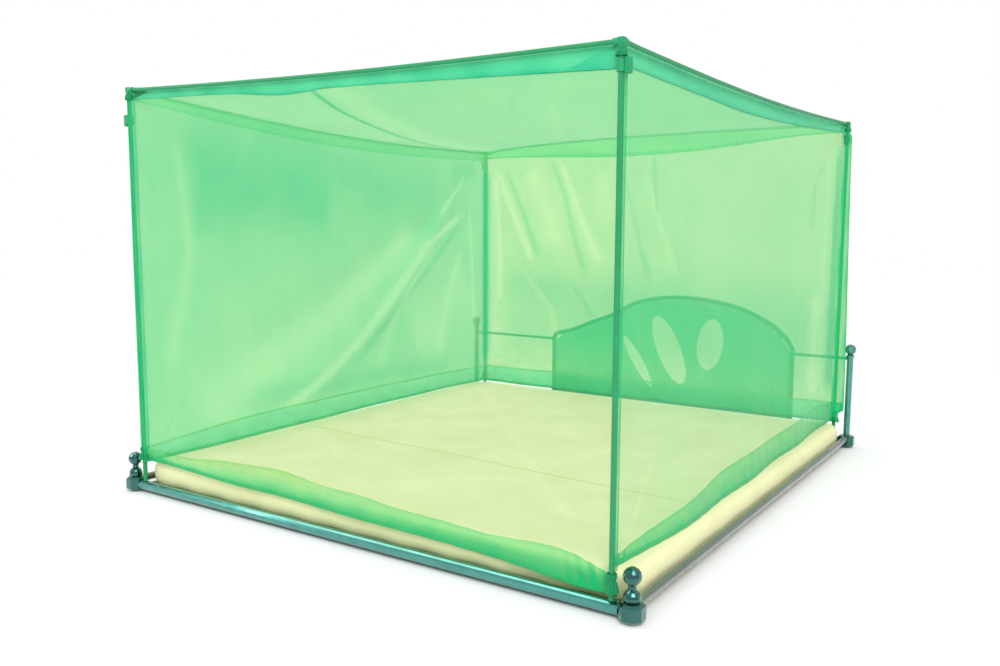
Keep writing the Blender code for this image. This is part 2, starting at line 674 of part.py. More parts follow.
def make_headboard():
    (left, left_top), (right, right_top) = HEADBOARD_ARCH[0], HEADBOARD_ARCH[-1]
    beside_rail = HEADBOARD_Y - HEADBOARD_TUBE - BED_Y  # where the uprights come nearest to the rail
    foot = RAIL_Z + sqrt(RAIL_RADIUS**2 - beside_rail**2) + GAP
    path = [(left, HEADBOARD_Y, foot)]
    path += [(x, HEADBOARD_Y, z) for x, z in HEADBOARD_ARCH[:2]]
    from_x, to_x = HEADBOARD_ARCH[2][0], HEADBOARD_ARCH[-2][0]
    path += [(x, HEADBOARD_Y, between(HEADBOARD_ARCH, x)) for x in spread(from_x, to_x, 22)]
    path += [(right, HEADBOARD_Y, right_top), (right, HEADBOARD_Y, foot)]
    tube_along("headboard_arch", path, HEADBOARD_TUBE, HEADBOARD_METAL, 2)

    inside = HEADBOARD_TUBE + GAP
    under = HEADBOARD_TUBE + 0.002  # the panel is held by the uprights and stays clear of the bends
    bottom, thick = 0.075, 0.004
    outline = [(left + inside, bottom), (left + inside, left_top - under)]
    outline += [(x, under_arch(x, under)) for x in spread(left + 0.050, right - 0.050, 20)]
    outline += [(right - inside, right_top - under), (right - inside, bottom)]
    bm = bmesh.new()
    front = bm.faces.new([bm.verts.new((x, HEADBOARD_Y - thick / 2, z)) for x, z in outline])
    pushed = bmesh.ops.extrude_face_region(bm, geom=[front])["geom"]
    moved = [item for item in pushed if isinstance(item, bmesh.types.BMVert)]
    bmesh.ops.translate(bm, vec=(0, thick, 0), verts=moved)
    panel = add("headboard_panel", finished(bm, "headboard_panel"), HEADBOARD_METAL)
    slots = (
        # middle x, middle z, half length, half width, lean (degrees, top to the left)
        (-0.020, 0.268, 0.135, 0.026, 33),
        (0.132, 0.335, 0.165, 0.058, 24),
        (0.325, 0.372, 0.115, 0.060, -8),
    )
    cutters = []
    for k, (x, z, long, wide, lean) in enumerate(slots):
        name = f"slot_{k}"
        start = (0.0, 0.0, 0.0)
        cutter = turned(name, [(1.0, -0.02), (1.0, 0.02)], 24, start, HEADBOARD_METAL, axis="Y")
        cutter.scale = (wide, 1.0, long)
        cutter.rotation_euler = (0, -radians(lean), 0)
        cutter.location = (x, HEADBOARD_Y, z)
        cutters.append(cutter)
    combined(panel, cutters, "DIFFERENCE")

    arm_radius, post_radius = 0.006, 0.0125
    nearest = HEADBOARD_Y - arm_radius - BED_Y
    arm_end = BED_X - sqrt(post_radius**2 - nearest**2) - GAP
    for side, start, end in (
        ("left", -arm_end, left - HEADBOARD_TUBE - GAP),
        ("right", right + HEADBOARD_TUBE + GAP, arm_end),
    ):
        low, high = (start, HEADBOARD_Y, HEADBOARD_ARMS[side]), (end, HEADBOARD_Y, HEADBOARD_ARMS[side])
        rod_between(f"headboard_arm_{side}", low, high, arm_radius, 12, HEADBOARD_METAL)


def make_base():
    """A plywood board between the foot and head rails, which carries the mattress."""
    half_x, half_y = BED_X - BLOCK_HALF - 0.001, BED_Y - RAIL_RADIUS - GAP
    low, high = BASE_TOP - 0.015, BASE_TOP
    bm = bmesh.new()
    bmesh.ops.create_cube(bm, size=1.0, matrix=Matrix.Diagonal((2 * half_x, 2 * half_y, high - low, 1.0)))
    base = add("bed_base", finished(bm, "bed_base"), BOARD)
    base.location = (0, 0, (low + high) / 2)


def make_mattress():
    """A thin mattress under a drawn sheet, with rounded corners and one crease across it."""
    bm = bmesh.new()
    corner, steps = 0.070, 5
    rows = (
        # height, how far in from the widest part
        (BASE_TOP + GAP, 0.016),
        (0.036, 0.005),
        (0.054, 0.000),
        (0.080, 0.002),
        (0.092, 0.008),
        (0.0985, 0.018),
        (MATTRESS_TOP, 0.034),
    )
    rings = []
    for height, inset in rows:
        ring = []
        radius = corner - inset * 0.6
        for quarter, (sx, sy) in enumerate(((1, 1), (-1, 1), (-1, -1), (1, -1))):
            cx = sx * (MATTRESS_X - inset - radius)
            cy = sy * (MATTRESS_Y - inset - radius)
            for k in range(steps + 1):
                angle = pi / 2 * (quarter + k / steps)
                ring.append(bm.verts.new((cx + radius * cos(angle), cy + radius * sin(angle), height)))
        rings.append(ring)
    count = len(rings[0])
    for low, high in zip(rings, rings[1:]):
        for i in range(count):
            j = (i + 1) % count
            bm.faces.new((low[i], low[j], high[j], high[i]))
    bm.faces.new(rings[0])
    bm.faces.new(rings[-1])
    crease_y, lean, half_width, depth = -0.320, 0.062, 0.011, 0.004
    direction = Vector((lean, 1.0, 0.0)).normalized()
    for shift in (-half_width, 0.0, half_width):
        geometry = bm.verts[:] + bm.edges[:] + bm.faces[:]
        place = Vector((0, crease_y + shift, 0))
        bmesh.ops.bisect_plane(bm, geom=geometry, dist=1e-6, plane_co=place, plane_no=direction)
    for vert in bm.verts:
        off = (vert.co - Vector((0, crease_y, 0))).dot(direction)
        if abs(off) < 1e-4 and vert.co.z > rows[-2][0] - 1e-4:
            vert.co.z -= depth
    add("mattress", finished(bm, "mattress"), SHEETED_MATTRESS)


make_bed_corners()
make_rails()
make_headboard()
make_base()
make_mattress()
make_frame()
make_net()
make_ties()
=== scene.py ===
"""The looks of a sheer green box net that hangs in a tube frame over a low double bed.

Metres, +Z up. X runs across the bed and Y along it: the foot is at -Y and the head at +Y. Sizes that come
from the solids keep the solids' names.
"""

from functools import partial
from math import cos, exp, hypot, pi, radians, sin, sqrt

import bpy
import bmesh
from mathutils import Matrix, Vector


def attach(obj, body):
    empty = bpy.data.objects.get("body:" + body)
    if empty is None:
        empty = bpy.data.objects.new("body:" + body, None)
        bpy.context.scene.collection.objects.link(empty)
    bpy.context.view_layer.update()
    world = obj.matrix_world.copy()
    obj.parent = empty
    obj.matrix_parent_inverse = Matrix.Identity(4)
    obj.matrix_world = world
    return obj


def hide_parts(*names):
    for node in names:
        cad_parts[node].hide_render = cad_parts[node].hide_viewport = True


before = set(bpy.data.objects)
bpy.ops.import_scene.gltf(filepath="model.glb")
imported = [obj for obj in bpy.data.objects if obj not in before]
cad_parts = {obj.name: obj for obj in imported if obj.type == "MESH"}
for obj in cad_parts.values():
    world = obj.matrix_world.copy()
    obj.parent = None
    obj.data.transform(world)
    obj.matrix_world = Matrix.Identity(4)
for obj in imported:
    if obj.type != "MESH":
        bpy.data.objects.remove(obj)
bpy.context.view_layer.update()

# ------ sizes shared with the solids

GAP = 0.0003
BASE_TOP = 0.024
POST_X = 0.870
POST_Y = 1.000
POST_RADIUS = 0.007
NET_X = 0.857
NET_Y = 0.987
NET_THICK = 0.0012
BAND_THICK = 0.0015
PATCH_THICK = 0.0012
TOP_DROP = 0.003
TOP_FLAT = 0.090
BAND_OUT = NET_THICK / 2 + GAP + BAND_THICK / 2
PATCH_OUT = BAND_OUT + BAND_THICK / 2 + GAP + PATCH_THICK / 2
FLARE_START = 0.330
MATTRESS_X = 0.907
MATTRESS_Y = 0.972

CORNERS = {
    # name: side x, side y, joint height, bottom tie low and high
    "foot_left": (-1, -1, 1.320, 0.115, 0.155),
    "foot_right": (1, -1, 1.296, 0.060, 0.105),
    "head_right": (1, 1, 1.295, 0.102, 0.142),
    "head_left": (-1, 1, 1.243, 0.102, 0.142),
}

SIDES = {
    # side: along, out, first corner, last corner, bow, skew
    "foot": ((1, 0), (0, -1), "foot_left", "foot_right", -0.011, 1.00),
    "head": ((1, 0), (0, 1), "head_left", "head_right", 0.022, 0.64),
    "left": ((0, 1), (-1, 0), "foot_left", "head_left", -0.033, 1.00),
    "right": ((0, 1), (1, 0), "foot_right", "head_right", -0.018, 1.00),
}

BAND_DEPTH = {
    # side: rows of (place, depth)
    "foot": ((-0.86, 0.026), (-0.41, 0.027), (-0.18, 0.04), (0.0, 0.031), (0.38, 0.038), (0.86, 0.054)),
    "head": ((-0.86, 0.03), (-0.44, 0.064), (-0.12, 0.082), (0.26, 0.074), (0.68, 0.036), (0.86, 0.03)),
    "left": ((-0.98, 0.03), (-0.5, 0.04), (0.1, 0.044), (0.98, 0.034)),
    "right": ((-0.98, 0.042), (-0.48, 0.045), (-0.2, 0.05), (0.25, 0.045), (0.98, 0.032)),
}

BORDER = {
    # side: rows of (place, seam height, hem height, how far the hem stands out)
    "foot": (
        (-0.86, 0.15, 0.108, 0.0), (-0.62, 0.151, 0.103, 0.004), (-0.42, 0.17, 0.095, 0.004),
        (-0.25, 0.171, 0.092, 0.003), (0.0, 0.154, 0.084, 0.003), (0.24, 0.141, 0.078, 0.003),
        (0.42, 0.127, 0.071, 0.002), (0.6, 0.13, 0.062, 0.0), (0.76, 0.127, 0.048, 0.0),
        (0.86, 0.096, 0.046, 0.0),
    ),
    "head": ((-0.86, 0.18, 0.1, 0.0), (0.0, 0.186, 0.098, 0.003), (0.86, 0.182, 0.1, 0.0)),
    "left": (
        (-0.98, 0.16, 0.106, 0.0), (-0.55, 0.186, 0.104, 0.006), (0.0, 0.19, 0.104, 0.018),
        (0.6, 0.186, 0.103, 0.022), (0.98, 0.18, 0.104, 0.0),
    ),
    "right": (
        (-0.98, 0.13, 0.104, 0.0), (-0.75, 0.15, 0.1035, 0.022), (-0.5, 0.163, 0.1035, 0.026),
        (-0.2, 0.184, 0.1035, 0.022), (0.3, 0.186, 0.1035, 0.012), (0.8, 0.196, 0.1035, 0.004),
        (0.98, 0.18, 0.104, 0.0),
    ),
}

CREASES = (
    # the main folds, as in the solids: side, three points, width, how far it stands out
    ("left", (0.8, 1.08), (0.19, 0.51), (-0.41, 0.17), 0.07, -0.02),
    ("left", (0.72, 1.0), (-0.18, 0.54), (-0.96, 0.22), 0.13, 0.016),
    ("left", (0.86, 1.02), (0.62, 0.44), (0.43, 0.18), 0.1, 0.012),
    ("head", (-0.79, 1.14), (-0.6, 0.73), (-0.5, 0.52), 0.06, -0.014),
    ("head", (-0.5, 1.14), (-0.37, 0.87), (-0.21, 0.59), 0.07, -0.014),
    ("head", (-0.03, 1.12), (0.06, 0.76), (0.14, 0.5), 0.07, -0.012),
    ("right", (0.94, 1.1), (0.92, 0.6), (0.93, 0.2), 0.06, -0.008),
    ("foot", (0.8, 0.2), (0.62, 0.36), (0.4, 0.62), 0.08, -0.007),
)

WAVES = {
    # side: how far the slow waves swell, their length, where they start
    "foot": (0.003, 0.62, 0.4),
    "head": (0.005, 0.44, 1.1),
    "left": (0.003, 0.58, 0.0),
    "right": (0.004, 0.52, 2.0),
}

ROOF_SAG = 0.042
ROOF_CREASE = ((-0.14, -0.97), (-0.85, 0.97))
ROOF_CREASE_DEPTH = 0.016
ROOF_CREASE_WIDTH = 0.075
# the mesh has lines this far from the bottom of a sharp crease
BESIDE_CREASE = (-0.030, -0.020, -0.013, -0.008, -0.004, 0, 0.004, 0.008, 0.013, 0.020, 0.030)

# ------ folds and shades of the cloth

# Each streak is where the cloth doubles on itself or is pulled thin, and is also painted light and shade:
# ridges that take the light are painted paler, folds in shade deeper, and the broad streaks paint light
# falling off across a wall. A shade above 0 is paler and thinner cloth, and one below 0 is deeper and closer.
# rise is a fine ridge that goes with it.
STREAKS = {
    # side: rows of (points, width at each end, shade, rise)
    "left": (
        (
            ((0.81, 0.95), (0.5, 0.8), (0.32, 0.64), (0.08, 0.44), (-0.16, 0.29), (-0.41, 0.16)),
            0.026, 0.046, 1.5, 0.006,
        ),
        (((0.8, 1.12), (0.77, 1.08), (0.61, 0.94)), 0.01, 0.02, 1.0, 0.003),
        (((0.78, 0.9), (0.5, 0.68), (0.28, 0.52), (0.0, 0.3)), 0.022, 0.04, -0.6, -0.004),
        (((0.44, 0.88), (0.12, 0.66), (-0.28, 0.44), (-0.8, 0.2)), 0.045, 0.12, 0.85, 0.0),
        (((0.85, 0.98), (0.86, 0.79), (0.88, 0.52), (0.9, 0.27)), 0.016, 0.03, 0.8, 0.003),
        (((0.978, 1.16), (0.978, 0.2)), 0.022, 0.022, -1.8, 0.0),
        (((-0.86, 1.16), (-0.2, 1.1), (0.62, 1.02)), 0.17, 0.17, -0.55, 0.0),
        (((-0.8, 0.98), (-0.1, 0.96)), 0.15, 0.11, -0.6, 0.0),
        (((0.9, 1.16), (0.7, 1.14)), 0.05, 0.07, -0.55, 0.0),
        (((-0.84, 1.18), (-0.8, 0.8), (-0.9, 0.4)), 0.03, 0.06, 0.5, 0.002),
        (((-0.6, 0.26), (-0.1, 0.24), (0.7, 0.23)), 0.045, 0.045, -0.5, 0.0),
        (((0.6, 0.86), (0.3, 0.52), (0.16, 0.26)), 0.024, 0.05, 0.5, 0.003),
        (((0.8, 0.78), (0.66, 0.5), (0.6, 0.26)), 0.02, 0.045, 0.5, 0.003),
        (((0.85, 0.6), (0.4, 0.36)), 0.2, 0.16, 0.6, 0.0),
        (((-0.7, 0.52), (-0.4, 0.6)), 0.14, 0.1, 0.25, 0.0),
    ),
    "head": (
        (((-0.73, 1.15), (-0.62, 0.93), (-0.54, 0.74)), 0.012, 0.03, -0.9, -0.005),
        (((-0.48, 1.2), (-0.4, 1.03), (-0.35, 0.86), (-0.28, 0.67)), 0.012, 0.03, -0.9, -0.005),
        (((-0.12, 1.18), (-0.06, 1.01), (-0.01, 0.81), (0.05, 0.64)), 0.01, 0.028, -0.7, -0.004),
        (((0.05, 1.2), (0.07, 0.94)), 0.014, 0.008, -1.0, -0.003),
        (((0.8, 1.16), (0.76, 1.07), (0.75, 0.88)), 0.008, 0.016, -0.6, -0.002),
        (((-0.8, 1.14), (-0.78, 0.87), (-0.77, 0.52)), 0.022, 0.035, 0.7, 0.003),
        (((-0.79, 1.16), (-0.68, 0.94), (-0.57, 0.71)), 0.018, 0.028, 0.9, 0.005),
        (((-0.6, 1.16), (-0.5, 0.98), (-0.44, 0.8)), 0.06, 0.05, 0.65, 0.0),
        (((-0.43, 1.2), (-0.32, 0.94), (-0.21, 0.72)), 0.022, 0.04, 0.85, 0.005),
        (((-0.22, 1.14), (-0.16, 0.9)), 0.04, 0.05, 0.3, 0.0),
        (((0.0, 1.14), (0.1, 0.86), (0.18, 0.66)), 0.016, 0.03, 0.5, 0.003),
        (((-0.848, 1.18), (-0.848, 0.2)), 0.018, 0.018, -1.6, 0.0),
        (((0.845, 1.22), (0.845, 0.2)), 0.016, 0.02, -1.2, 0.0),
        (((-0.8, 0.6), (-0.3, 0.58), (0.9, 0.52)), 0.11, 0.15, -0.75, 0.0),
        (((-0.8, 0.4), (0.9, 0.34)), 0.13, 0.15, -0.75, 0.0),
        (((-0.62, 0.66), (-0.48, 0.5), (-0.44, 0.36)), 0.016, 0.03, 0.6, 0.003),
        (((-0.36, 0.62), (-0.24, 0.46)), 0.014, 0.026, -0.6, -0.003),
        (((0.78, 0.62), (0.78, 0.2)), 0.035, 0.04, 0.9, 0.003),
    ),
    "foot": (
        (((0.63, 1.245), (0.68, 1.19), (0.72, 1.1)), 0.008, 0.018, 1.2, 0.002),
        (((0.59, 1.24), (0.58, 1.15)), 0.01, 0.02, -0.8, -0.002),
        (((-0.84, 1.22), (-0.83, 0.3)), 0.012, 0.012, 0.6, 0.0),
        (((0.82, 0.14), (0.66, 0.3), (0.48, 0.52)), 0.01, 0.03, 0.6, 0.003),
        (((-0.82, 0.2), (-0.7, 0.34)), 0.01, 0.02, 0.6, 0.002),
        (((-0.3, 1.22), (-0.38, 1.05)), 0.01, 0.03, 0.5, 0.002),
    ),
    "right": (
        (((-0.97, 1.2), (-0.97, 0.15)), 0.01, 0.01, 0.8, 0.0),
        (((0.8, 1.18), (0.78, 0.7), (0.8, 0.3)), 0.03, 0.05, 0.6, 0.003),
        (((0.93, 1.2), (0.94, 0.7), (0.93, 0.25)), 0.05, 0.06, -1.8, -0.003),
        (((0.975, 1.24), (0.975, 0.2)), 0.016, 0.02, -3.0, 0.0),
        (((0.89, 1.18), (0.9, 0.6)), 0.01, 0.014, 1.8, 0.002),
        (((-0.8, 1.2), (-0.6, 0.9)), 0.01, 0.03, 0.45, 0.003),
        (((0.94, 0.16), (0.8, 0.3), (0.5, 0.4)), 0.01, 0.03, 0.45, 0.003),
        (((-0.9, 0.16), (-0.76, 0.3)), 0.01, 0.02, 0.45, 0.002),
    ),
}

# ------ materials


def linear(hex_colour):
    """A colour written as sRGB hex, as linear red, green, blue and 1."""
    parts = [int(hex_colour[i : i + 2], 16) / 255 for i in (1, 3, 5)]
    return (*[c / 12.92 if c <= 0.04045 else ((c + 0.055) / 1.055) ** 2.4 for c in parts], 1.0)


def feed(node, *inputs):
    """Sets sockets of a node from (socket, value) pairs. A value that is another node's output is linked."""
    for socket, value in inputs:
        if isinstance(value, bpy.types.NodeSocket):
            node.id_data.links.new(value, node.inputs[socket])
        else:
            node.inputs[socket].default_value = value


def add_node(tree, kind, inputs=(), **settings):
    made = tree.nodes.new(f"ShaderNode{kind}")
    for setting, value in settings.items():
        setattr(made, setting, value)
    feed(made, *inputs)
    return made


def start_material(name):
    """A new material, the function that adds nodes to it, and its Principled node."""
    made = bpy.data.materials.new(name)
    made.use_nodes = True
    return made, partial(add_node, made.node_tree), made.node_tree.nodes["Principled BSDF"]


def millimetres(pitch):
    """The scale of a Noise texture whose grain is this many millimetres."""
    return 1000.0 / pitch


def threads(pitch, diagonal=False):
    """The scale of a Wave texture whose threads are this many millimetres apart."""
    return 2 * pi / ((10 * sqrt(2) if diagonal else 20) * pitch / 1000)


def colour_and_relief(add, shader, share, first, second, height, strength, depth):
    """Mixes two colours by share over a surface whose relief is depth metres deep."""
    colour = add("Mix", [(0, share), (6, linear(first)), (7, linear(second))], data_type="RGBA")
    bump = add("Bump", [("Height", height), ("Strength", strength), ("Distance", depth)])
    feed(shader, ("Base Color", colour.outputs[2]), ("Normal", bump.outputs["Normal"]))


def vary_roughness(add, shader, wear, low, high, smoothest, roughest):
    """The surface goes from its smoothest to its roughest as wear goes from low to high."""
    limits = [("From Min", low), ("From Max", high), ("To Min", smoothest), ("To Max", roughest)]
    rough = add("MapRange", [("Value", wear), *limits]).outputs["Result"]
    feed(shader, ("Roughness", rough))


def plain_weave(add, place, pitch):
    """Warp crossing weft, with threads this many millimetres apart."""
    warp, weft = (
        add("TexWave", [("Vector", place), ("Scale", threads(pitch))], bands_direction=way)
        for way in ("X", "Y")
    )
    crossing = [(0, warp.outputs["Fac"]), (1, weft.outputs["Fac"])]
    return add("Math", crossing, operation="MULTIPLY").outputs[0]


def uneven_shade(add, along, patch_size, detail, softness, narrow, swing):
    """The cloth's painted shade, and on it uneven dye and tension in patches of this many millimetres."""
    shade = add("Attribute", attribute_name="shade").outputs["Fac"]
    grain = [("Scale", millimetres(patch_size)), ("Detail", detail), ("Roughness", softness)]
    patches = add("TexNoise", [("Vector", along), *grain]).outputs["Fac"]
    limits = [("From Min", 0.5 - narrow), ("From Max", 0.5 + narrow), ("To Min", -swing), ("To Max", swing)]
    lit = add("MapRange", [("Value", patches), *limits]).outputs["Result"]
    return add("Math", [(0, shade), (1, lit)], operation="ADD").outputs[0]


def dye_and_shade_sheer_cloth(add, shader, tone, yarn, deep, pale, tint, cover, swing, yarn_share, relief):
    """A pale tone is the pale dye and thin cloth, and on folds also painted highlight, as a deep tone is also
    painted shade. Between its yarns the cloth is clear, in the tint's colour. cover is how much of the cloth
    is yarn, and swing how far the tone moves it."""
    share = add("Math", [(0, tone), (1, 0.5), (2, 0.5)], operation="MULTIPLY_ADD", use_clamp=True)
    colour_and_relief(add, shader, share.outputs[0], deep, pale, yarn, relief, 0.0004)
    thin = add("Math", [(0, tone), (1, -swing), (2, cover)], operation="MULTIPLY_ADD").outputs[0]
    solid = add("Math", [(0, yarn), (1, yarn_share), (2, thin)], operation="MULTIPLY_ADD", use_clamp=True)
    clear = add("BsdfTransparent", [("Color", linear(tint))])
    layers = [(0, solid.outputs[0]), (1, clear.outputs[0]), (2, shader.outputs[0])]
    mixed = add("MixShader", layers).outputs[0]
    feed(shader.id_data.nodes["Material Output"], ("Surface", mixed))


def warp_knit_net(name, *dye_and_painted_light):
    """Polyester warp-knit net. Dyed yarn in a diamond mesh gives a soft matt haze with no sparkle, and what
    is behind it shows through in the dye's colour. Its real mesh of about 1.6 mm is drawn twice as coarse,
    or it would not show."""
    made, add, shader = start_material(name)
    along = add("UVMap", uv_map="cloth").outputs["UV"]
    other = add("Mapping", [("Vector", along), ("Scale", (-1.0, 1.0, 1.0))]).outputs["Vector"]
    strands = []
    for way in (along, other):
        lines = [("Vector", way), ("Scale", threads(3.2, diagonal=True))]
        strand = add("TexWave", lines, bands_direction="DIAGONAL").outputs["Fac"]
        strands.append(add("Math", [(0, strand), (1, 3.0)], operation="POWER").outputs[0])
    knit = add("Math", list(enumerate(strands)), operation="MAXIMUM").outputs[0]
    tone = uneven_shade(add, along, 260, detail=3.0, softness=0.5, narrow=0.15, swing=0.16)
    dye_and_shade_sheer_cloth(add, shader, tone, knit, *dye_and_painted_light, yarn_share=0.16, relief=0.25)
    feed(shader, ("Roughness", 0.85), ("IOR", 1.5), ("Specular IOR Level", 0.15))
    feed(shader, ("Sheen Weight", 0.25), ("Sheen Roughness", 0.5))
    return made


def plain_woven_strip(name, *dye_and_painted_light):
    """Plain-woven polyester, closer than the net and doubled at its folds, so it holds more dye and lets
    less through. Its 0.5 mm threads are drawn 1.5 mm apart to show."""
    made, add, shader = start_material(name)
    along = add("UVMap", uv_map="cloth").outputs["UV"]
    tone = uneven_shade(add, along, 70, detail=4.0, softness=0.6, narrow=0.2, swing=0.25)
    dye_and_shade_sheer_cloth(add, shader, tone, plain_weave(add, along, 1.5), *dye_and_painted_light, yarn_share=0.08, relief=0.35)
    feed(shader, ("Roughness", 0.75), ("Specular IOR Level", 0.2))
    feed(shader, ("Sheen Weight", 0.3), ("Sheen Roughness", 0.45))
    return made


def enamelled_steel_tube(name, body, worn, roughness, coat):
    """Steel tube under stoved green enamel: glossy, with a faint orange peel and paler rubbed patches."""
    made, add, shader = start_material(name)
    place = ("Vector", add("TexCoord").outputs["Object"])
    patches = [place, ("Scale", millimetres(45)), ("Detail", 5.0), ("Roughness", 0.62)]
    rubbed = add("TexNoise", patches).outputs["Fac"]
    limits = [("From Min", 0.52), ("From Max", 1.0)]
    much = add("MapRange", [("Value", rubbed), *limits]).outputs["Result"]
    peel = add("TexNoise", [place, ("Scale", millimetres(2.5)), ("Detail", 2.0)]).outputs["Fac"]
    colour_and_relief(add, shader, much, body, worn, peel, 0.12, 0.0003)
    vary_roughness(add, shader, rubbed, 0.3, 0.7, roughness - 0.06, roughness + 0.12)
    feed(shader, ("IOR", 1.5), ("Coat Weight", coat), ("Coat Roughness", 0.12))
    return made


def moulded_polypropylene(name, body, pale):
    """Moulded polypropylene: even, slightly waxy, with a fine spark-eroded grain from the mould."""
    made, add, shader = start_material(name)
    place = ("Vector", add("TexCoord").outputs["Object"])
    grain = add("TexNoise", [place, ("Scale", millimetres(1.2)), ("Detail", 3.0)]).outputs["Fac"]
    cloud = add("TexNoise", [place, ("Scale", millimetres(14)), ("Detail", 2.0)]).outputs["Fac"]
    colour_and_relief(add, shader, cloud, body, pale, grain, 0.2, 0.0003)
    feed(shader, ("Roughness", 0.42), ("IOR", 1.49))
    return made


def plated_steel(name, bright, dull, roughness):
    """Nickel-chromed steel tube under clear lacquer: a polished mirror that dulls to a brushed haze where it
    is handled, with the lacquer's own white glints on top. Its dark, tinted base colours are painted
    reflection of dark green surroundings."""
    made, add, shader = start_material(name)
    place = ("Vector", add("TexCoord").outputs["Object"])
    patches = [place, ("Scale", millimetres(60)), ("Detail", 6.0), ("Roughness", 0.65)]
    haze = add("TexNoise", patches).outputs["Fac"]
    polish = add("TexNoise", [place, ("Scale", millimetres(1.5)), ("Detail", 2.0)]).outputs["Fac"]
    colour_and_relief(add, shader, haze, bright, dull, polish, 0.05, 0.0002)
    vary_roughness(add, shader, haze, 0.3, 0.75, roughness, roughness + 0.16)
    feed(shader, ("Metallic", 1.0), ("Coat Weight", 1.0), ("Coat Roughness", 0.04))
    return made


def plywood(name, early, late):
    """Rotary-cut plywood: long wavy grain down the board, and darker winter rings. Its grey-green colour is
    painted shade, for the dim teal gap under the mattress."""
    made, add, shader = start_material(name)
    place = add("TexCoord").outputs["Object"]
    long_grain = add("Mapping", [("Vector", place), ("Scale", (1.0, 0.06, 1.0))]).outputs["Vector"]
    wavy = [("Vector", long_grain), ("Scale", millimetres(22)), ("Detail", 5.0), ("Distortion", 0.8)]
    rings = add("TexNoise", wavy).outputs["Fac"]
    colour_and_relief(add, shader, rings, early, late, rings, 0.2, 0.0006)
    feed(shader, ("Roughness", 0.7))
    return made


def cotton_sheeting(name, body, shadow):
    """Plain-woven cotton sheeting over foam: matt, softly napped, with slack ripples. Its 0.4 mm threads are
    drawn 2 mm apart to show. Its colour goes towards a darker shadow colour in the ripples' hollows and with
    the mesh's shade, as painted shade."""
    made, add, shader = start_material(name)
    place = add("TexCoord").outputs["Object"]
    ripples = [("Vector", place), ("Scale", millimetres(190)), ("Detail", 4.0), ("Distortion", 0.6)]
    slack = add("TexNoise", ripples).outputs["Fac"]
    shade = add("Attribute", attribute_name="shade").outputs["Fac"]
    ripple = add("Math", [(0, slack), (1, 0.45), (2, 0.28)], operation="MULTIPLY_ADD").outputs[0]
    light = add("Math", [(0, ripple), (1, shade)], operation="ADD").outputs[0]
    limits = [("From Min", 0.62), ("From Max", 0.12)]
    much = add("MapRange", [("Value", light), *limits]).outputs["Result"]
    threads_and_slack = [(0, plain_weave(add, place, 2.0)), (1, 0.25), (2, slack)]
    height = add("Math", threads_and_slack, operation="MULTIPLY_ADD").outputs[0]
    colour_and_relief(add, shader, much, body, shadow, height, 0.35, 0.0016)
    feed(shader, ("Roughness", 0.9), ("Specular IOR Level", 0.2), ("Sheen Weight", 0.1))
    return made


# Cloth is given its deep and pale dye, the tint of what shows through it, how much of it is yarn, and how far
# a shade moves that.
# The nets, bands and borders are each one cloth drawn in several copies. The copies' different dyes, tints
# and covers are painted light and shade: each stands in for how the light and what lies behind fall on its
# part of the net, the left wall deepest.
FOOT_NET = warp_knit_net("net_foot", "#2FC27C", "#84E8A4", "#FFFFFC", 0.12, 0.05)
RIGHT_NET = warp_knit_net("net_right", "#2FC47A", "#80E49A", "#FFFFFF", 0.28, 0.09)
LEFT_NET = warp_knit_net("net_left", "#10BE78", "#A8E490", "#C2F3CE", 0.58, 0.10)
HEAD_NET = warp_knit_net("net_head", "#20BE76", "#9ADF8A", "#F2FCCE", 0.43, 0.14)
ROOF_NET = warp_knit_net("net_roof", "#22C67A", "#92E28C", "#CCF9CB", 0.56, 0.12)
NEAR_BAND = plain_woven_strip("heading_cloth_near", "#20C08C", "#66E8B6", "#A4EBC8", 0.68, 0.12)
FAR_BAND = plain_woven_strip("heading_cloth_far", "#38CC9A", "#90EEB6", "#C8F6D8", 0.46, 0.10)
BAND_CLOTH = {"foot": NEAR_BAND, "right": NEAR_BAND, "left": FAR_BAND, "head": FAR_BAND}
NEAR_BORDER = plain_woven_strip("border_cloth_near", "#10B468", "#78E09C", "#CBF5CA", 0.56, 0.34)
FAR_BORDER = plain_woven_strip("border_cloth_far", "#18C07A", "#84E29A", "#BFF5C6", 0.60, 0.20)
TIE_CLOTH = plain_woven_strip("tie_cloth", "#067A48", "#22AC6C", "#6FD59A", 0.90, 0.06)
FRAME_ENAMEL = enamelled_steel_tube("green_enamelled_tube", "#0A9056", "#12A468", 0.45, 0.10)
JOINT_PLASTIC = moulded_polypropylene("green_polypropylene", "#088A58", "#10A26A")
# The three platings are one plated steel in three tones, darkened as painted reflection of dark surroundings:
# darkest on the balls and blocks, green-teal on the bed tube.
BED_PLATING = plated_steel("plated_bed_tube", "#5AB0A4", "#2A7A72", 0.12)
BALL_PLATING = plated_steel("plated_balls_and_blocks", "#2F7C72", "#184E48", 0.06)
SIDE_PLATING = plated_steel("plated_side_rail", "#838F86", "#5A655F", 0.22)
HEADBOARD_ENAMEL = enamelled_steel_tube("green_enamelled_headboard", "#74CCBC", "#A0E0D0", 0.36, 0.25)
ARCH_ENAMEL = enamelled_steel_tube("green_enamelled_arch", "#2A8C70", "#46A588", 0.36, 0.25)
# painted shade: the board's grey-green tone stands in for the shade between the mattress and the rail
BOARD = plywood("plywood_in_painted_shade", "#6FA08A", "#4C7E68")
SHEETING = cotton_sheeting("pale_yellow_sheeting", "#ECECB8", "#CFCB8F")

# ------ where the net hangs


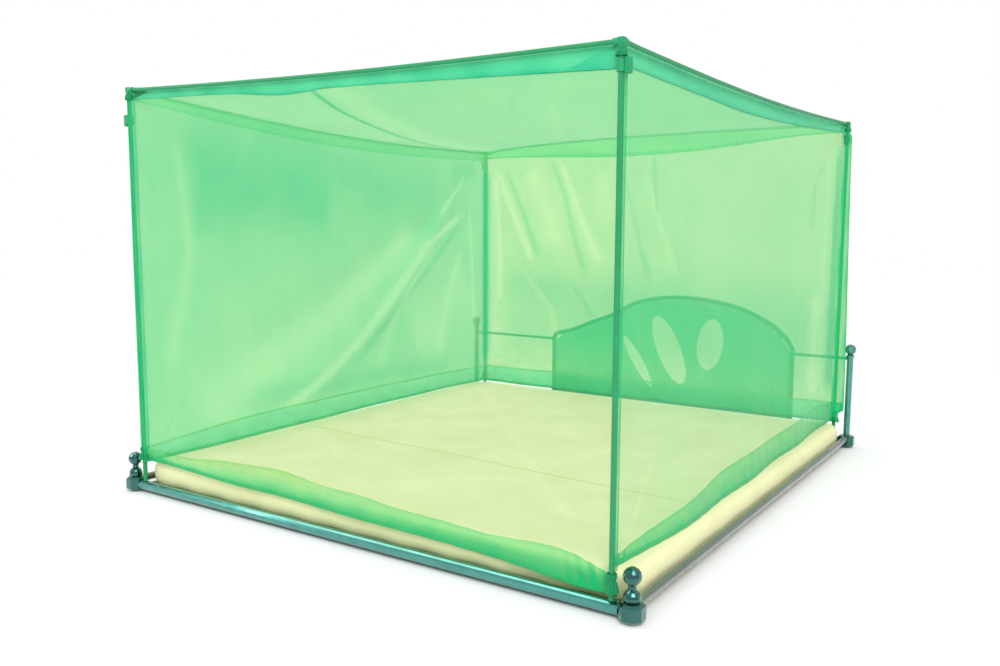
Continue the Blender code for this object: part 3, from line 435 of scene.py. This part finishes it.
def between(rows, place):
    """The height at place on a smooth curve through (place, height) rows."""
    last = len(rows) - 1
    if place <= rows[0][0]:
        return rows[0][1]
    if place >= rows[last][0]:
        return rows[last][1]
    i = max(k for k in range(last) if rows[k][0] <= place)

    def slope(k):
        left, right = rows[max(k - 1, 0)], rows[min(k + 1, last)]
        return (right[1] - left[1]) / (right[0] - left[0])

    (x0, y0), (x1, y1) = rows[i], rows[i + 1]
    step = x1 - x0
    t = (place - x0) / step
    return (
        y0 * (1 + 2 * t) * (1 - t) ** 2
        + slope(i) * step * t * (1 - t) ** 2
        + y1 * t * t * (3 - 2 * t)
        - slope(i + 1) * step * t * t * (1 - t)
    )


def ease(value):
    """0 below 0, 1 above 1 and smooth between."""
    t = min(max(value, 0.0), 1.0)
    return t * t * (3 - 2 * t)


def part_way(start, end, part):
    """The point a part of the way from start to end."""
    return tuple(a + (b - a) * part for a, b in zip(start, end))


def spread(low, high, count):
    """count + 1 places from low to high."""
    return [low + (high - low) * i / count for i in range(count + 1)]


def half_length(side):
    """Half of a wall's length."""
    return NET_X if SIDES[side][0][0] else NET_Y


def rod_height(side, place):
    """The height of the bowed rod's axis at a place along a side."""
    along, _, first, last, bow, skew = SIDES[side]
    half = POST_X if along[0] else POST_Y
    u = min(max((place / half + 1) / 2, 0.0), 1.0)
    start, end = CORNERS[first][2], CORNERS[last][2]
    return start + (end - start) * u + bow * sin(pi * u**skew)


def net_top(side, place):
    """The height of the net's top edge."""
    return rod_height(side, place) - TOP_DROP


def near_line(points, place, height):
    """How far a point is from a broken line, and how far along the line its nearest point is, 0 to 1."""
    lengths = [hypot(b[0] - a[0], b[1] - a[1]) for a, b in zip(points, points[1:])]
    nearest, where, gone = None, 0.0, 0.0
    for a, b, length in zip(points, points[1:], lengths):
        t = ((place - a[0]) * (b[0] - a[0]) + (height - a[1]) * (b[1] - a[1])) / length**2
        t = min(max(t, 0.0), 1.0)
        reach = hypot(place - a[0] - t * (b[0] - a[0]), height - a[1] - t * (b[1] - a[1]))
        if nearest is None or reach < nearest:
            nearest, where = reach, (gone + t * length) / sum(lengths)
        gone += length
    return nearest, where


def crease_out(crease, place, height):
    """How far one main crease moves the cloth at a point."""
    _, *points, width, stands = crease
    nearest, where = near_line(points, place, height)
    spread_here = width * (0.4 + 0.6 * where)
    return stands * ease(where / 0.2) * ease((1 - where) / 0.15) * exp(-((nearest / spread_here) ** 2))


def streak_at(streak, place, height):
    """How strong a streak is at a point, 0 to 1."""
    points, start_width, end_width, _, rise = streak
    nearest, where = near_line(points, place, height)
    width = (start_width + (end_width - start_width) * where) * (0.55 if rise else 1.0)
    if nearest > 3 * width:
        return 0.0
    return ease(where / 0.12 + 0.25) * ease((1 - where) / 0.12 + 0.25) * exp(-((nearest / width) ** 2))


def border_at(side, place, column):
    """One column of a border's table, at a place along it."""
    return between([(row[0], row[column]) for row in BORDER[side]], place)


def seam_height(side, place):
    return border_at(side, place, 1)


def hem_height(side, place):
    return border_at(side, place, 2)


def fan(off, along, turns, phase, start, reach):
    """Folds that fan out from a tied corner, at a point off from it one way and along from it the other. They
    are full from start and die away at reach."""
    away = hypot(off, along)
    turn = turns * (off / max(away, 1e-6))
    return sin(2 * pi * turn + phase) * ease(away / start) * exp(-((away / reach) ** 2))


def pull(side, place, height):
    """Fine folds that fan out from the tied top corners and rise from the tied bottom ones."""
    off, phase = half_length(side) - abs(place), 1.3 if place > 0 else -1.3
    above = fan(off, net_top(side, place) - height, 7.0, phase, 0.10, 0.34)
    below = fan(off, height - hem_height(side, place), 5.0, 0.0, 0.06, 0.22)
    return 0.0022 * above + 0.0020 * below


def cloth_out(side, place, height):
    """How far a wall's cloth stands out of its plane: the solids' folds with finer ones on them."""
    edge = ease((half_length(side) - abs(place)) / 0.075)  # the posts hold the ends flat
    down = ease((net_top(side, place) - TOP_FLAT - height) / 0.15)
    folds = sum(crease_out(row, place, height) for row in CREASES if row[0] == side)
    folds += sum(row[4] * streak_at(row, place, height) for row in STREAKS[side] if row[4])
    swell, length, start = WAVES[side]
    folds += swell * sin(2 * pi * place / length + start) + pull(side, place, height)
    folds += 0.0007 * sin(2 * pi * place / 0.083 + 3.0 * height + start)
    hem = hem_height(side, place)
    swing = min(max((FLARE_START - height) / (FLARE_START - hem), 0.0), 1.0)
    flare = border_at(side, place, 3) * swing**2
    return edge * (down * folds + flare)


def cloth_shade(side, place, height):
    """How pale, above 0, or deep, below 0, the cloth looks at a point: thin or doubled cloth, and painted
    highlight and shade on its folds.
    """
    return sum(row[3] * streak_at(row, place, height) for row in STREAKS[side])


def on_side(side, place, height, out):
    """The point at a place along a side, a height and a distance out of its cloth's plane."""
    along, outward = SIDES[side][:2]
    plane = NET_Y if along[0] else NET_X
    x = along[0] * place + outward[0] * (plane + out)
    y = along[1] * place + outward[1] * (plane + out)
    return (x, y, height)


# ------ making pieces


def join_columns(bm, columns):
    """Fills the faces between neighbouring columns of points."""
    for left, right in zip(columns, columns[1:]):
        for j in range(len(left) - 1):
            bm.faces.new((left[j], right[j], right[j + 1], left[j + 1]))


def finished(bm, name):
    """The mesh of what was drawn, smooth all over."""
    for face in bm.faces:
        face.smooth = True
    mesh = bpy.data.meshes.new(name)
    bm.to_mesh(mesh)
    bm.free()
    return mesh


def piece(name, bm, material):
    """A piece of the scene from what was drawn. It rides on the only body."""
    mesh = finished(bm, name)
    mesh.materials.append(material)
    obj = bpy.data.objects.new(name, mesh)
    bpy.context.scene.collection.objects.link(obj)
    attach(obj, "root")
    return obj


def cloth(name, grid, material, closed=False):
    """A sheet of cloth from columns of (point, (u, v), shade). u and v are metres of cloth."""
    bm = bmesh.new()
    uv = bm.loops.layers.uv.new("cloth")
    shades = bm.verts.layers.float.new("shade")
    made, flat = [], {}
    for column in grid:
        verts = []
        for point, place, shade in column:
            vert = bm.verts.new(point)
            vert[shades] = shade
            flat[vert] = place
            verts.append(vert)
        made.append(verts)
    join_columns(bm, made + made[:1] if closed else made)
    for face in bm.faces:
        for loop in face.loops:
            loop[uv].uv = flat[loop.vert]
    return piece(name, bm, material)


def let_light_through(net):
    """A net this fine neither shades the bed nor throws its colour on it."""
    net.visible_shadow = False
    net.visible_diffuse = False


# ------ the net

WALL_CLOTH = {"foot": FOOT_NET, "right": RIGHT_NET, "left": LEFT_NET, "head": HEAD_NET}
SEAM_LAP = 0.008  # the wall laps behind the border this far
HEM_TURN = 0.012  # the hem is folded up inside this much
WALL_ROWS = 112
BORDER_ROWS = 12
ROOF_ROWS = 138


def edge_places(side):
    """Places along a wall, every centimetre."""
    half = half_length(side)
    return spread(-half, half, 2 * round(half * 100))


FLAPS = {
    # side and end: how far the cloth goes on past the corner seam at the top and at the bottom, as a flap
    # beside the post, and how deep its doubled cloth looks
    ("left", -1): (0.030, 0.034, -1.1),
    ("foot", 1): (0.022, 0.022, -8.0),
    ("head", 1): (0.034, 0.052, -2.0),
    ("left", 1): (0.020, 0.020, -1.3),
}
FLAP_LIFT = 0.0014  # the flap lies this far outside its wall's plane, clear of the other wall's edge
FLAP_PARTS = ((0.08, 1.5), (0.25, 0.9), (0.5, 0.7), (0.75, 0.8), (0.9, 1.2), (1.0, 2.2))


def flap_width(side, end, height):
    """A flap is drawn in where the ties hold it."""
    top, bottom, _ = FLAPS[side, end]
    joint, tie_low, tie_high = CORNERS[SIDES[side][2 if end < 0 else 3]][2:]
    width = bottom + (top - bottom) * ease((height - tie_high) / (joint - tie_high))
    held = ease(1 - (abs(height - joint + 0.022) - 0.010) / 0.016)
    held = max(held, ease(1 - (abs(height - (tie_low + tie_high) / 2) - 0.014) / 0.016))
    return width * (1 - 0.40 * held)


def add_flaps(side, grid):
    """Adds columns to the ends of a wall or border where its cloth goes on past the corner."""
    along, outward = SIDES[side][:2]
    for end in (-1, 1):
        if (side, end) not in FLAPS:
            continue
        deep = FLAPS[side, end][2]
        edge = grid[0] if end < 0 else grid[-1]
        flap = []
        for part, depth in FLAP_PARTS:
            column = []
            for (x, y, height), (place, up), _ in edge:
                past = part * flap_width(side, end, height)
                lift = FLAP_LIFT * ease(part * 4) - 0.0006 * part * (1 + sin(9 * height + 2 * end))
                at_x = x + along[0] * end * past + outward[0] * lift
                at_y = y + along[1] * end * past + outward[1] * lift
                shade = deep * depth * (1 + 0.25 * sin(23 * height + 40 * part))
                column.append(((at_x, at_y, height), (place + end * past, up), shade))
            flap.append(column)
        grid = flap[::-1] + grid if end < 0 else grid + flap
    return grid


def make_wall(side):
    """A wall reaches from its lap behind the border up to the rod."""
    grid = []
    for place in edge_places(side):
        top, low = net_top(side, place), seam_height(side, place) - SEAM_LAP
        column = []
        for height in spread(low, top, WALL_ROWS):
            out = cloth_out(side, place, height)
            shade = cloth_shade(side, place, height)
            column.append((on_side(side, place, height, out), (place, height), shade))
        grid.append(column)
    wall = cloth(f"wall_cloth_{side}", add_flaps(side, grid), WALL_CLOTH[side])
    let_light_through(wall)
    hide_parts(f"net_wall_{side}")


def make_border(side):
    """The border runs from its seam on the wall down to the hem's fold, and up again inside it."""
    half = half_length(side)
    near = side in ("foot", "right")
    grid = []
    for place in edge_places(side):
        hem, seam = hem_height(side, place), seam_height(side, place)
        lobes = 0.0
        if side == "foot":
            lobes = 0.003 * sin(2 * pi * place / 0.31) * ease((half - abs(place)) / 0.1)
        rows = [(hem + HEM_TURN, -0.0016), (hem + 0.001, -0.0016), (hem, 0.0)]
        rows += [(height, 0.0006) for height in spread(hem + 0.002, seam + lobes, BORDER_ROWS)]
        column = []
        for height, lift in rows:
            out = cloth_out(side, place, height) + lift
            up = (height - hem) / max(seam - hem, 1e-6)
            if side == "foot":  # nearly clear above, and closer towards the near corner and the hem
                clear = 1.0 + 1.2 * ease((0.35 - place) / 0.7)
                deep = clear * ease((up - 0.10) / 0.9) - 0.65
            elif side == "right":
                deep = 0.5 * ease((up - 0.1) / 0.8) - 0.6
            else:
                deep = 0.8 * up - 0.85
            if height == hem:
                deep -= 0.35 if near else 0.15
            elif height == rows[-1][0] and side != "foot":
                deep -= 0.3
            if near:  # gathered into the tied corners
                # the gathered cloth is deeper, with painted shade: its pleats are drawn as paler and deeper
                # stripes
                bunch = exp(-(((half - abs(place)) / 0.10) ** 2))
                deep -= bunch * (0.60 + 0.7 * sin(190 * place + 45 * height))
            column.append((on_side(side, place, height, out), (place, height + lift), deep))
        grid.append(column)
    weave = NEAR_BORDER if near else FAR_BORDER
    border = cloth(f"border_cloth_{side}", add_flaps(side, grid), weave)
    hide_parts(f"border_{side}")


def make_heading(side):
    """The heading band lies outside the wall. Its lower edge is turned up behind it, and its upper edge leans
    out to the rod that carries it."""
    half = half_length(side) + (0 if SIDES[side][0][0] else BAND_OUT)
    grid = []
    for place in spread(-half, half, 2 * round(half * 100)):
        top = net_top(side, place)
        depth = between(BAND_DEPTH[side], place)
        column = []
        for part in (0.22, 0.04, 0.0, 0.1, 0.25, 0.5, 0.75, 0.95, 1.0):
            turned_up = part in (0.22, 0.04)
            height = top - depth * (1 - part)
            ripple = 0.0005 * sin(2 * pi * place / 0.047) * (1 - part)
            out = BAND_OUT + (-0.0005 if turned_up else 0.0003 + abs(ripple))
            shade = -0.7 if part == 0.0 else 0.35 * sin(2 * pi * place / 0.9 + 4 * part)
            shade += 0.3 * sin(2 * pi * (place + 0.6 * height) / 0.16) * (0.4 + 0.6 * (side == "foot"))
            if side == "left":  # this band thins out downwards until it can't be told from the wall
                shade += 4.5 * (1 - part)
            column.append((on_side(side, place, height, out), (place, height), shade))
        for rise, out in ((0.0030, BAND_OUT + 0.0020), (0.0060, 0.0084)):
            column.append((on_side(side, place, top + rise, out), (place, top + rise), -0.5))
        grid.append(column)
    band = cloth(f"heading_cloth_{side}", grid, BAND_CLOTH[side])
    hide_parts(f"heading_band_{side}")


def roof_height(x, y):
    """The roof hangs from its four edges, sags between them and has one valley."""
    u, v = (x / NET_X + 1) / 2, (y / NET_Y + 1) / 2
    foot, head = net_top("foot", x), net_top("head", x)
    left, right = net_top("left", y), net_top("right", y)
    corner = {name: row[2] - TOP_DROP for name, row in CORNERS.items()}
    flat = (1 - u) * ((1 - v) * corner["foot_left"] + v * corner["head_left"])
    flat += u * ((1 - v) * corner["foot_right"] + v * corner["head_right"])
    hung = (1 - v) * foot + v * head + (1 - u) * left + u * right - flat
    (ax, ay), (bx, by) = ROOF_CREASE
    length = hypot(bx - ax, by - ay)
    t = ((x - ax) * (bx - ax) + (y - ay) * (by - ay)) / length**2
    off = ((x - ax) * (by - ay) - (y - ay) * (bx - ax)) / length
    middle = 16 * u * (1 - u) * v * (1 - v)
    valley = ROOF_CREASE_DEPTH * exp(-((off / ROOF_CREASE_WIDTH) ** 2)) * min(1.0, 4 * middle)
    return hung - ROOF_SAG * middle - valley * ease(t / 0.15) * ease((1 - t) / 0.15)


# Like the walls' streaks, these are painted light and shade: the valley is a deep line, partly doubled cloth
# and partly painted shade, and the pale bands beside it are painted light.
ROOF_STREAKS = (
    # points across and along the bed, width at each end, shade, rise
    (((-0.14, -0.97), (-0.495, 0.0), (-0.85, 0.97)), 0.013, 0.013, -3.4, -0.003),
    (((-0.06, -0.97), (-0.18, -0.64), (-0.44, 0.02), (-0.76, 0.9)), 0.05, 0.05, 0.8, 0.0),
    (((-0.22, -0.97), (-0.12, -0.95)), 0.03, 0.03, -0.6, -0.002),
    (((0.05, -0.97), (0.02, -0.8)), 0.012, 0.03, -0.4, -0.003),
    (((-0.4, -0.7), (-0.6, 0.2)), 0.14, 0.08, 0.3, 0.0),
    (((0.3, -0.6), (0.1, 0.6)), 0.26, 0.2, 0.15, 0.0),
    (((0.7, -0.9), (0.2, -0.2)), 0.015, 0.05, 0.2, 0.003),
    (((0.8, 0.9), (0.3, 0.3)), 0.015, 0.05, 0.2, 0.003),
    (((-0.8, -0.92), (-0.5, -0.5)), 0.015, 0.05, 0.2, 0.003),
)


def roof_places(y, half):
    """Places across the roof at y, closer together along its valley."""
    (ax, ay), (bx, by) = ROOF_CREASE
    valley = ax + (bx - ax) * (min(max(y, ay), by) - ay) / (by - ay)
    near = min(1.0, (valley + half) / 0.08)
    steps = [near * step for step in BESIDE_CREASE]
    left, right = spread(-half, valley + steps[0], 40), spread(valley + steps[-1], half, 84)
    return left[:-1] + [valley + step for step in steps] + right[1:]


def make_roof():
    """The roof lies between the walls. Its mesh is finer along its valley."""
    edge = NET_THICK / 2 + 0.0004  # clear of the walls
    lower = 0.0015  # and of the rods
    along = spread(-NET_Y + edge, NET_Y - edge, ROOF_ROWS)
    across = [roof_places(y, NET_X - edge) for y in along]
    grid = []
    for i in range(len(across[0])):
        column = []
        for y, places in zip(along, across):
            x = places[i]
            inside = ease((NET_X - abs(x)) / 0.06) * ease((NET_Y - abs(y)) / 0.06)
            strong = [(streak_at(row, x, y), row) for row in ROOF_STREAKS]
            rise = sum(s * row[4] for s, row in strong) + 0.0012 * sin(2 * pi * (x + 0.4 * y) / 0.17)
            shade = sum(s * row[3] for s, row in strong)
            column.append(((x, y, roof_height(x, y) - lower + inside * rise), (x, y), shade))
        grid.append(column)
    roof = cloth("roof_cloth", grid, ROOF_NET)
    let_light_through(roof)
    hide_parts("net_roof")


PATCHES = (
    # name, side, corners as (place, distance under the net's top)
    ("foot_left", "foot", ((-0.856, 0.002), (-0.856, 0.022), (-0.782, 0.003))),
    ("foot_right", "foot", ((0.853, 0.002), (0.853, 0.052), (0.72, 0.046))),
    ("head_right", "right", ((0.978, 0.002), (0.978, 0.056), (0.925, 0.006))),
    ("head_left", "left", ((0.978, 0.002), (0.978, 0.05), (0.88, 0.008))),
)


def make_patches():
    """Triangles of doubled cloth on the top corners, each with a folded edge along its long side."""
    for name, side, (a, b, c) in PATCHES:
        grid = []
        for t in spread(0, 1, 14):
            column = []
            for s in spread(0, 1, 6):
                place, drop = part_way(part_way(a, c, t), part_way(b, c, t), s)
                lift = 0.0004 * sin(pi * s) * (1 - t)
                shade = -0.5 if s in (0, 1) else -0.1 + 0.4 * sin(5 * t + 3 * s)
                height = net_top(side, place) - drop
                column.append((on_side(side, place, height, PATCH_OUT + lift), (place, height), shade))
            grid.append(column)
        finish = TIE_CLOTH if name == "foot_left" else BAND_CLOTH[side]
        patch = cloth(f"patch_cloth_{name}", grid, finish)
        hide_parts(f"corner_patch_{name}")


# ------ the ties


def turned_away(side_x, side_y, angle):
    """0 on the side of a post that faces the middle of the net, and 1 on its far side."""
    inwards = Vector((-side_x, -side_y)).angle_signed(Vector((1, 0)))
    return (1 - cos(angle - inwards)) / 2


def round_post(side_x, side_y, radius, angle):
    """The place beside a post at a distance and an angle from its axis."""
    return side_x * POST_X + radius * cos(angle), side_y * POST_Y + radius * sin(angle)


def make_top_tie(name, side_x, side_y, height):
    """Tape wound up the post and the net's corner. Each turn laps the one under it, so that only the lower
    edges stand proud."""
    inner, reach, lap = 0.0112, 0.0145, 0.0026
    width, turns, pitch = 0.0102, 3.3, 0.0034
    steps = 36  # to a turn
    grid = []
    for i in range(int(turns * steps) + 1):
        angle = 2 * pi * i / steps
        away = turned_away(side_x, side_y, angle)
        outer = inner + (reach - inner) * (1 - 0.45 * away) + 0.0003 * sin(2.3 * angle)
        low = height - 0.0330 + pitch * angle / (2 * pi) + 0.0006 * sin(1.7 * angle + 1.0)
        column = []
        for part in (0.0, 0.08, 0.25, 0.5, 0.75, 1.0):
            radius = outer - lap * part - (0.0004 if part == 0.0 else 0.0)
            x, y = round_post(side_x, side_y, radius, angle)
            # painted shade: each turn has a dark line at its edge, is palest just above it where it stands
            # proud, and is deeper up under the next turn
            shade = -0.6 if part == 0.0 else 0.25 - 0.9 * part
            column.append(((x, y, low + width * part), (0.013 * angle, width * part), shade))
        grid.append(column)
    tape = cloth(f"top_tie_{name}", grid, TIE_CLOTH)
    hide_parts(f"tie_top_{name}")


def make_bottom_tie(name, side_x, side_y, low, high):
    """The net's gathered bottom corner, bunched in pleats round the post and bound in the middle."""
    inner = POST_RADIUS + 0.0012
    count, rows = 96, 22
    grid = []
    for i in range(count):
        angle = 2 * pi * i / count
        away = turned_away(side_x, side_y, angle)
        column = []
        for t in spread(0, 1, rows):
            waist = 1 - 0.55 * exp(-(((t - 0.62) / 0.10) ** 2)) - 0.25 * ease((t - 0.8) / 0.2)
            skirt = 0.0062 * (0.55 + 0.45 * cos(pi * min(t / 0.62, 1.0))) + 0.0035
            pleat = sin(11 * angle + 2.2 * t) * 0.6 + 0.4 * sin(17 * angle - 3 * t + 1.0)
            radius = inner + (skirt + 0.0016 * pleat) * waist * (0.72 + 0.40 * away)
            z = low + (high - low) * t
            x, y = round_post(side_x, side_y, radius, angle)
            # painted shade: the pleats' ridges are drawn paler and their hollows deeper, all somewhat deep
            # for the gathered cloth
            column.append(((x, y, z), (0.02 * angle, z), 0.55 * pleat - 0.25))
        grid.append(column)
    bunch = cloth(f"bottom_tie_{name}", grid, TIE_CLOTH, closed=True)
    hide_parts(f"tie_bottom_{name}")


# ------ the mattress


MATTRESS_CORNER = 0.070
MATTRESS_SIDE = (
    # height, how far in from the widest part
    (BASE_TOP + GAP, 0.01), (0.029, 0.006), (0.036, 0.003), (0.045, 0.001), (0.054, 0.0),
)
MATTRESS_EDGE = (
    # how far in from the widest part, height
    (0.0, 0.054), (0.0008, 0.068), (0.0025, 0.08), (0.005, 0.0868), (0.0085, 0.0915),
    (0.013, 0.0953), (0.019, 0.0982), (0.026, 0.0995), (0.036, 0.1), (0.05, 0.1),
)
MATTRESS_CREASE = (-0.320, 0.062)  # where it crosses the middle, and how much it leans


def round_plan(x, y):
    """Bends the plan of a rectangle so that its corners are round."""
    inset = min(MATTRESS_X - abs(x), MATTRESS_Y - abs(y))
    radius = MATTRESS_CORNER - inset
    if radius <= 0:
        return x, y
    half_x, half_y = MATTRESS_X - inset, MATTRESS_Y - inset
    on_long_side = MATTRESS_X - abs(x) <= MATTRESS_Y - abs(y)
    to_corner = half_y - abs(y) if on_long_side else half_x - abs(x)
    if to_corner >= radius:
        return x, y
    turn = pi / 4 * (1 - to_corner / radius)
    if not on_long_side:
        turn = pi / 2 - turn
    round_x, round_y = half_x - radius + radius * cos(turn), half_y - radius + radius * sin(turn)
    return (round_x if x > 0 else -round_x), (round_y if y > 0 else -round_y)


def make_mattress():
    """Foam under a drawn sheet. Its top has one long crease, its edges roll over, and the sheet is gathered
    in small tucks at the corners."""
    crease_y, lean = MATTRESS_CREASE

    def places(half, extra=()):
        """Places across the top, closer together over its edges, with the extra ones among them."""
        edge = [half - row[0] for row in MATTRESS_EDGE]
        middle = spread(-half + 0.065, half - 0.065, round((2 * half - 0.13) / 0.022))
        middle = [p for p in middle if all(abs(p - e) > 0.011 for e in extra)]
        return sorted([-e for e in edge] + middle + list(extra) + edge)

    rows = places(MATTRESS_Y, [crease_y + step for step in BESIDE_CREASE])
    columns = places(MATTRESS_X)

    def slack(x, y):
        """The sheet lies a little loose on the foam."""
        ripple = 0.0010 * sin(5.1 * x + 2.3 * y) * sin(4.3 * y - 1.7 * x)
        return ripple + 0.0004 * sin(19 * x + 6 * y) * sin(3 * x - 13 * y + 1)

    bm = bmesh.new()
    shades = bm.verts.layers.float.new("shade")
    top = []
    for x in columns:
        column = []
        for row in rows:
            follow = ease((MATTRESS_Y - 0.08 - abs(row)) / 0.45)  # rows run along the crease in the middle
            y = row - lean * x * follow
            inset = min(MATTRESS_X - abs(x), MATTRESS_Y - abs(y))
            height = between(MATTRESS_EDGE, inset)
            inside = ease((inset - 0.02) / 0.06)
            off = row - crease_y
            fade = 0.30 + 0.70 * ease((0.80 - x) / 0.5) * ease((x + 0.88) / 0.2)
            dip = 0.0042 * exp(-((off / 0.0060) ** 2)) * fade
            lip = 0.0010 * exp(-(((off - 0.013) / 0.008) ** 2)) * fade
            flat_x, flat_y = round_plan(x, y)
            tuck = 0.0
            if abs(x) > MATTRESS_X - 0.10 and abs(y) > MATTRESS_Y - 0.10:
                tuck = 0.0016 * sin(90 * (abs(x) - MATTRESS_X) - 90 * (abs(y) - MATTRESS_Y))
                tuck *= ease((0.05 - inset) / 0.05) * ease(inset / 0.004)
            height += inside * (slack(x, y) - 0.0010 - dip + lip) + tuck * 0.6
            vert = bm.verts.new((flat_x, flat_y, height))
            # painted shade: the top is drawn a little darker, its rolled edges paler and its crease darker
            # still
            vert[shades] = -0.08 + 0.20 * (1 - inside) - 0.85 * exp(-((off / 0.0045) ** 2)) * fade * inside
            column.append(vert)
        top.append(column)
    join_columns(bm, top)
    last_x, last_y = len(columns) - 1, len(rows) - 1
    ring = [top[i][0] for i in range(last_x)] + [top[last_x][j] for j in range(last_y)]
    ring += [top[i][last_y] for i in range(last_x, 0, -1)] + [top[0][j] for j in range(last_y, 0, -1)]
    for (height, inset), (_, inset_above) in zip(MATTRESS_SIDE[-2::-1], MATTRESS_SIDE[:0:-1]):
        lower = []
        for vert in ring:
            x, y = vert.co.x, vert.co.y
            core_x = min(max(x, MATTRESS_CORNER - MATTRESS_X), MATTRESS_X - MATTRESS_CORNER)
            core_y = min(max(y, MATTRESS_CORNER - MATTRESS_Y), MATTRESS_Y - MATTRESS_CORNER)
            away = Vector((x - core_x, y - core_y, 0)).normalized()
            inwards = inset - inset_above + 0.0006 * sin(37 * x - 23 * y)  # the sheet hangs a little loose
            fresh = bm.verts.new((x - away.x * inwards, y - away.y * inwards, height))
            # painted shade: the sides are drawn pale, and darker towards the base
            fresh[shades] = 0.12 - 0.2 * ease((0.045 - height) / 0.02)
            lower.append(fresh)
        for i in range(len(ring)):
            j = (i + 1) % len(ring)
            bm.faces.new((ring[i], lower[i], lower[j], ring[j]))
        ring = lower
    bm.faces.new(ring)
    bmesh.ops.recalc_face_normals(bm, faces=bm.faces)
    mattress = piece("mattress_in_sheet", bm, SHEETING)
    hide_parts("mattress")


# ------ finishes of the hard pieces


def finish_hard_pieces():
    """Gives each solid that stays its finish, by how its node's name starts."""
    finishes = (
        (("canopy_post_", "top_rod_"), FRAME_ENAMEL),
        (("corner_joint_", "post_clamp_"), JOINT_PLASTIC),
        (("corner_block_", "finial_"), BALL_PLATING),
        (("head_post_", "foot_rail", "head_rail"), BED_PLATING),
        (("side_rail_",), SIDE_PLATING),
        (("headboard_panel",), HEADBOARD_ENAMEL),
        (("headboard_arch", "headboard_arm_"), ARCH_ENAMEL),
        (("bed_base",), BOARD),
    )
    for name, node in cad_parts.items():
        for starts, finish in finishes:
            if name.startswith(starts):
                for material_slot in node.material_slots:
                    material_slot.material = finish


# ------ the studio

CAMERA_AT = Vector((1.7851, -2.8392, 0.9108))
CAMERA_YAW, CAMERA_PITCH, CAMERA_ROLL = radians(33.7234), radians(6.9582), radians(0.2226)
LENS_MM, SENSOR_MM = 33.096, 36.0


def add_camera():
    data = bpy.data.cameras.new("camera")
    data.lens, data.sensor_width = LENS_MM, SENSOR_MM
    camera = bpy.data.objects.new("camera", data)
    tilt = Matrix.Rotation(pi / 2 - CAMERA_PITCH, 4, "X") @ Matrix.Rotation(CAMERA_ROLL, 4, "Z")
    camera.matrix_world = Matrix.Translation(CAMERA_AT) @ Matrix.Rotation(CAMERA_YAW, 4, "Z") @ tilt
    bpy.context.scene.collection.objects.link(camera)
    bpy.context.scene.camera = camera


def add_light(name, kind, way, power, at=(0, 0, 0), **settings):
    """A light at a place, shining one way. Its power is watts, or for a sun watts on a square metre."""
    data = bpy.data.lights.new(name, kind)
    data.energy = power
    for setting, value in settings.items():
        setattr(data, setting, value)
    light = bpy.data.objects.new(name, data)
    light.location = at
    light.rotation_euler = Vector(way).to_track_quat("-Z", "Y").to_euler()
    bpy.context.scene.collection.objects.link(light)
    return light


def add_studio():
    scene = bpy.context.scene
    scene.view_settings.view_transform = "Standard"
    world = bpy.data.worlds.new("pale_studio")
    scene.world = world
    world.use_nodes = True
    add = partial(add_node, world.node_tree)
    # a white room: its walls glow evenly to the eye, while the bed is lit from above more than from the sides
    path = add("LightPath").outputs["Is Camera Ray"]
    way = add("TexCoord").outputs["Generated"]
    up = add("SeparateXYZ", [("Vector", way)]).outputs["Z"]
    limits = [("From Min", -0.05), ("From Max", 0.55), ("To Min", 0.55), ("To Max", 0.85)]
    from_above = add("MapRange", [("Value", up), *limits])
    glow = add("Mix", [(0, path), (2, from_above.outputs["Result"]), (3, 1.0)], data_type="FLOAT")
    white = ("Color", (1.0, 1.0, 1.0, 1.0))
    feed(world.node_tree.nodes["Background"], white, ("Strength", glow.outputs[0]))

    bm = bmesh.new()
    bmesh.ops.create_circle(bm, cap_ends=True, radius=14.0, segments=96)
    floor = bpy.data.objects.new("studio_floor", finished(bm, "studio_floor"))
    scene.collection.objects.link(floor)
    made, _, shader = start_material("pale_floor")
    pale = ("Base Color", (0.96, 0.96, 0.96, 1.0))
    feed(shader, pale, ("Roughness", 0.9), ("Specular IOR Level", 0.0))
    floor.data.materials.append(made)

    add_light("soft_sun", "SUN", (-0.55, 0.70, -0.80), 1.05, angle=radians(35))
    add_light("key_softbox", "AREA", (-2.4, 2.8, -2.4), 28.0, (2.6, -3.4, 2.6), size=0.9)
    add_light("left_softbox", "AREA", (2.8, 2.0, -2.0), 16.0, (-3.2, -2.6, 2.2), size=0.9)
    across = {"shape": "RECTANGLE", "size": 5.0, "size_y": 1.0}
    strip = add_light("overhead_strip", "AREA", (0, 0, -1), 38.0, (-0.9, -1.1, 2.8), **across)
    strip.visible_diffuse = False  # it only draws the long glints on the tubes and the balls
    strip.visible_camera = False
    scene.cycles.transparent_max_bounces = 24


# ------ putting it together

add_camera()
finish_hard_pieces()
make_roof()
for wall_side in SIDES:
    make_wall(wall_side)
    make_border(wall_side)
    make_heading(wall_side)
make_patches()
for corner_name, (corner_x, corner_y, joint_height, tie_low, tie_high) in CORNERS.items():
    make_top_tie(corner_name, corner_x, corner_y, joint_height)
    make_bottom_tie(corner_name, corner_x, corner_y, tie_low, tie_high)
make_mattress()
add_studio()

bpy.context.view_layer.update()
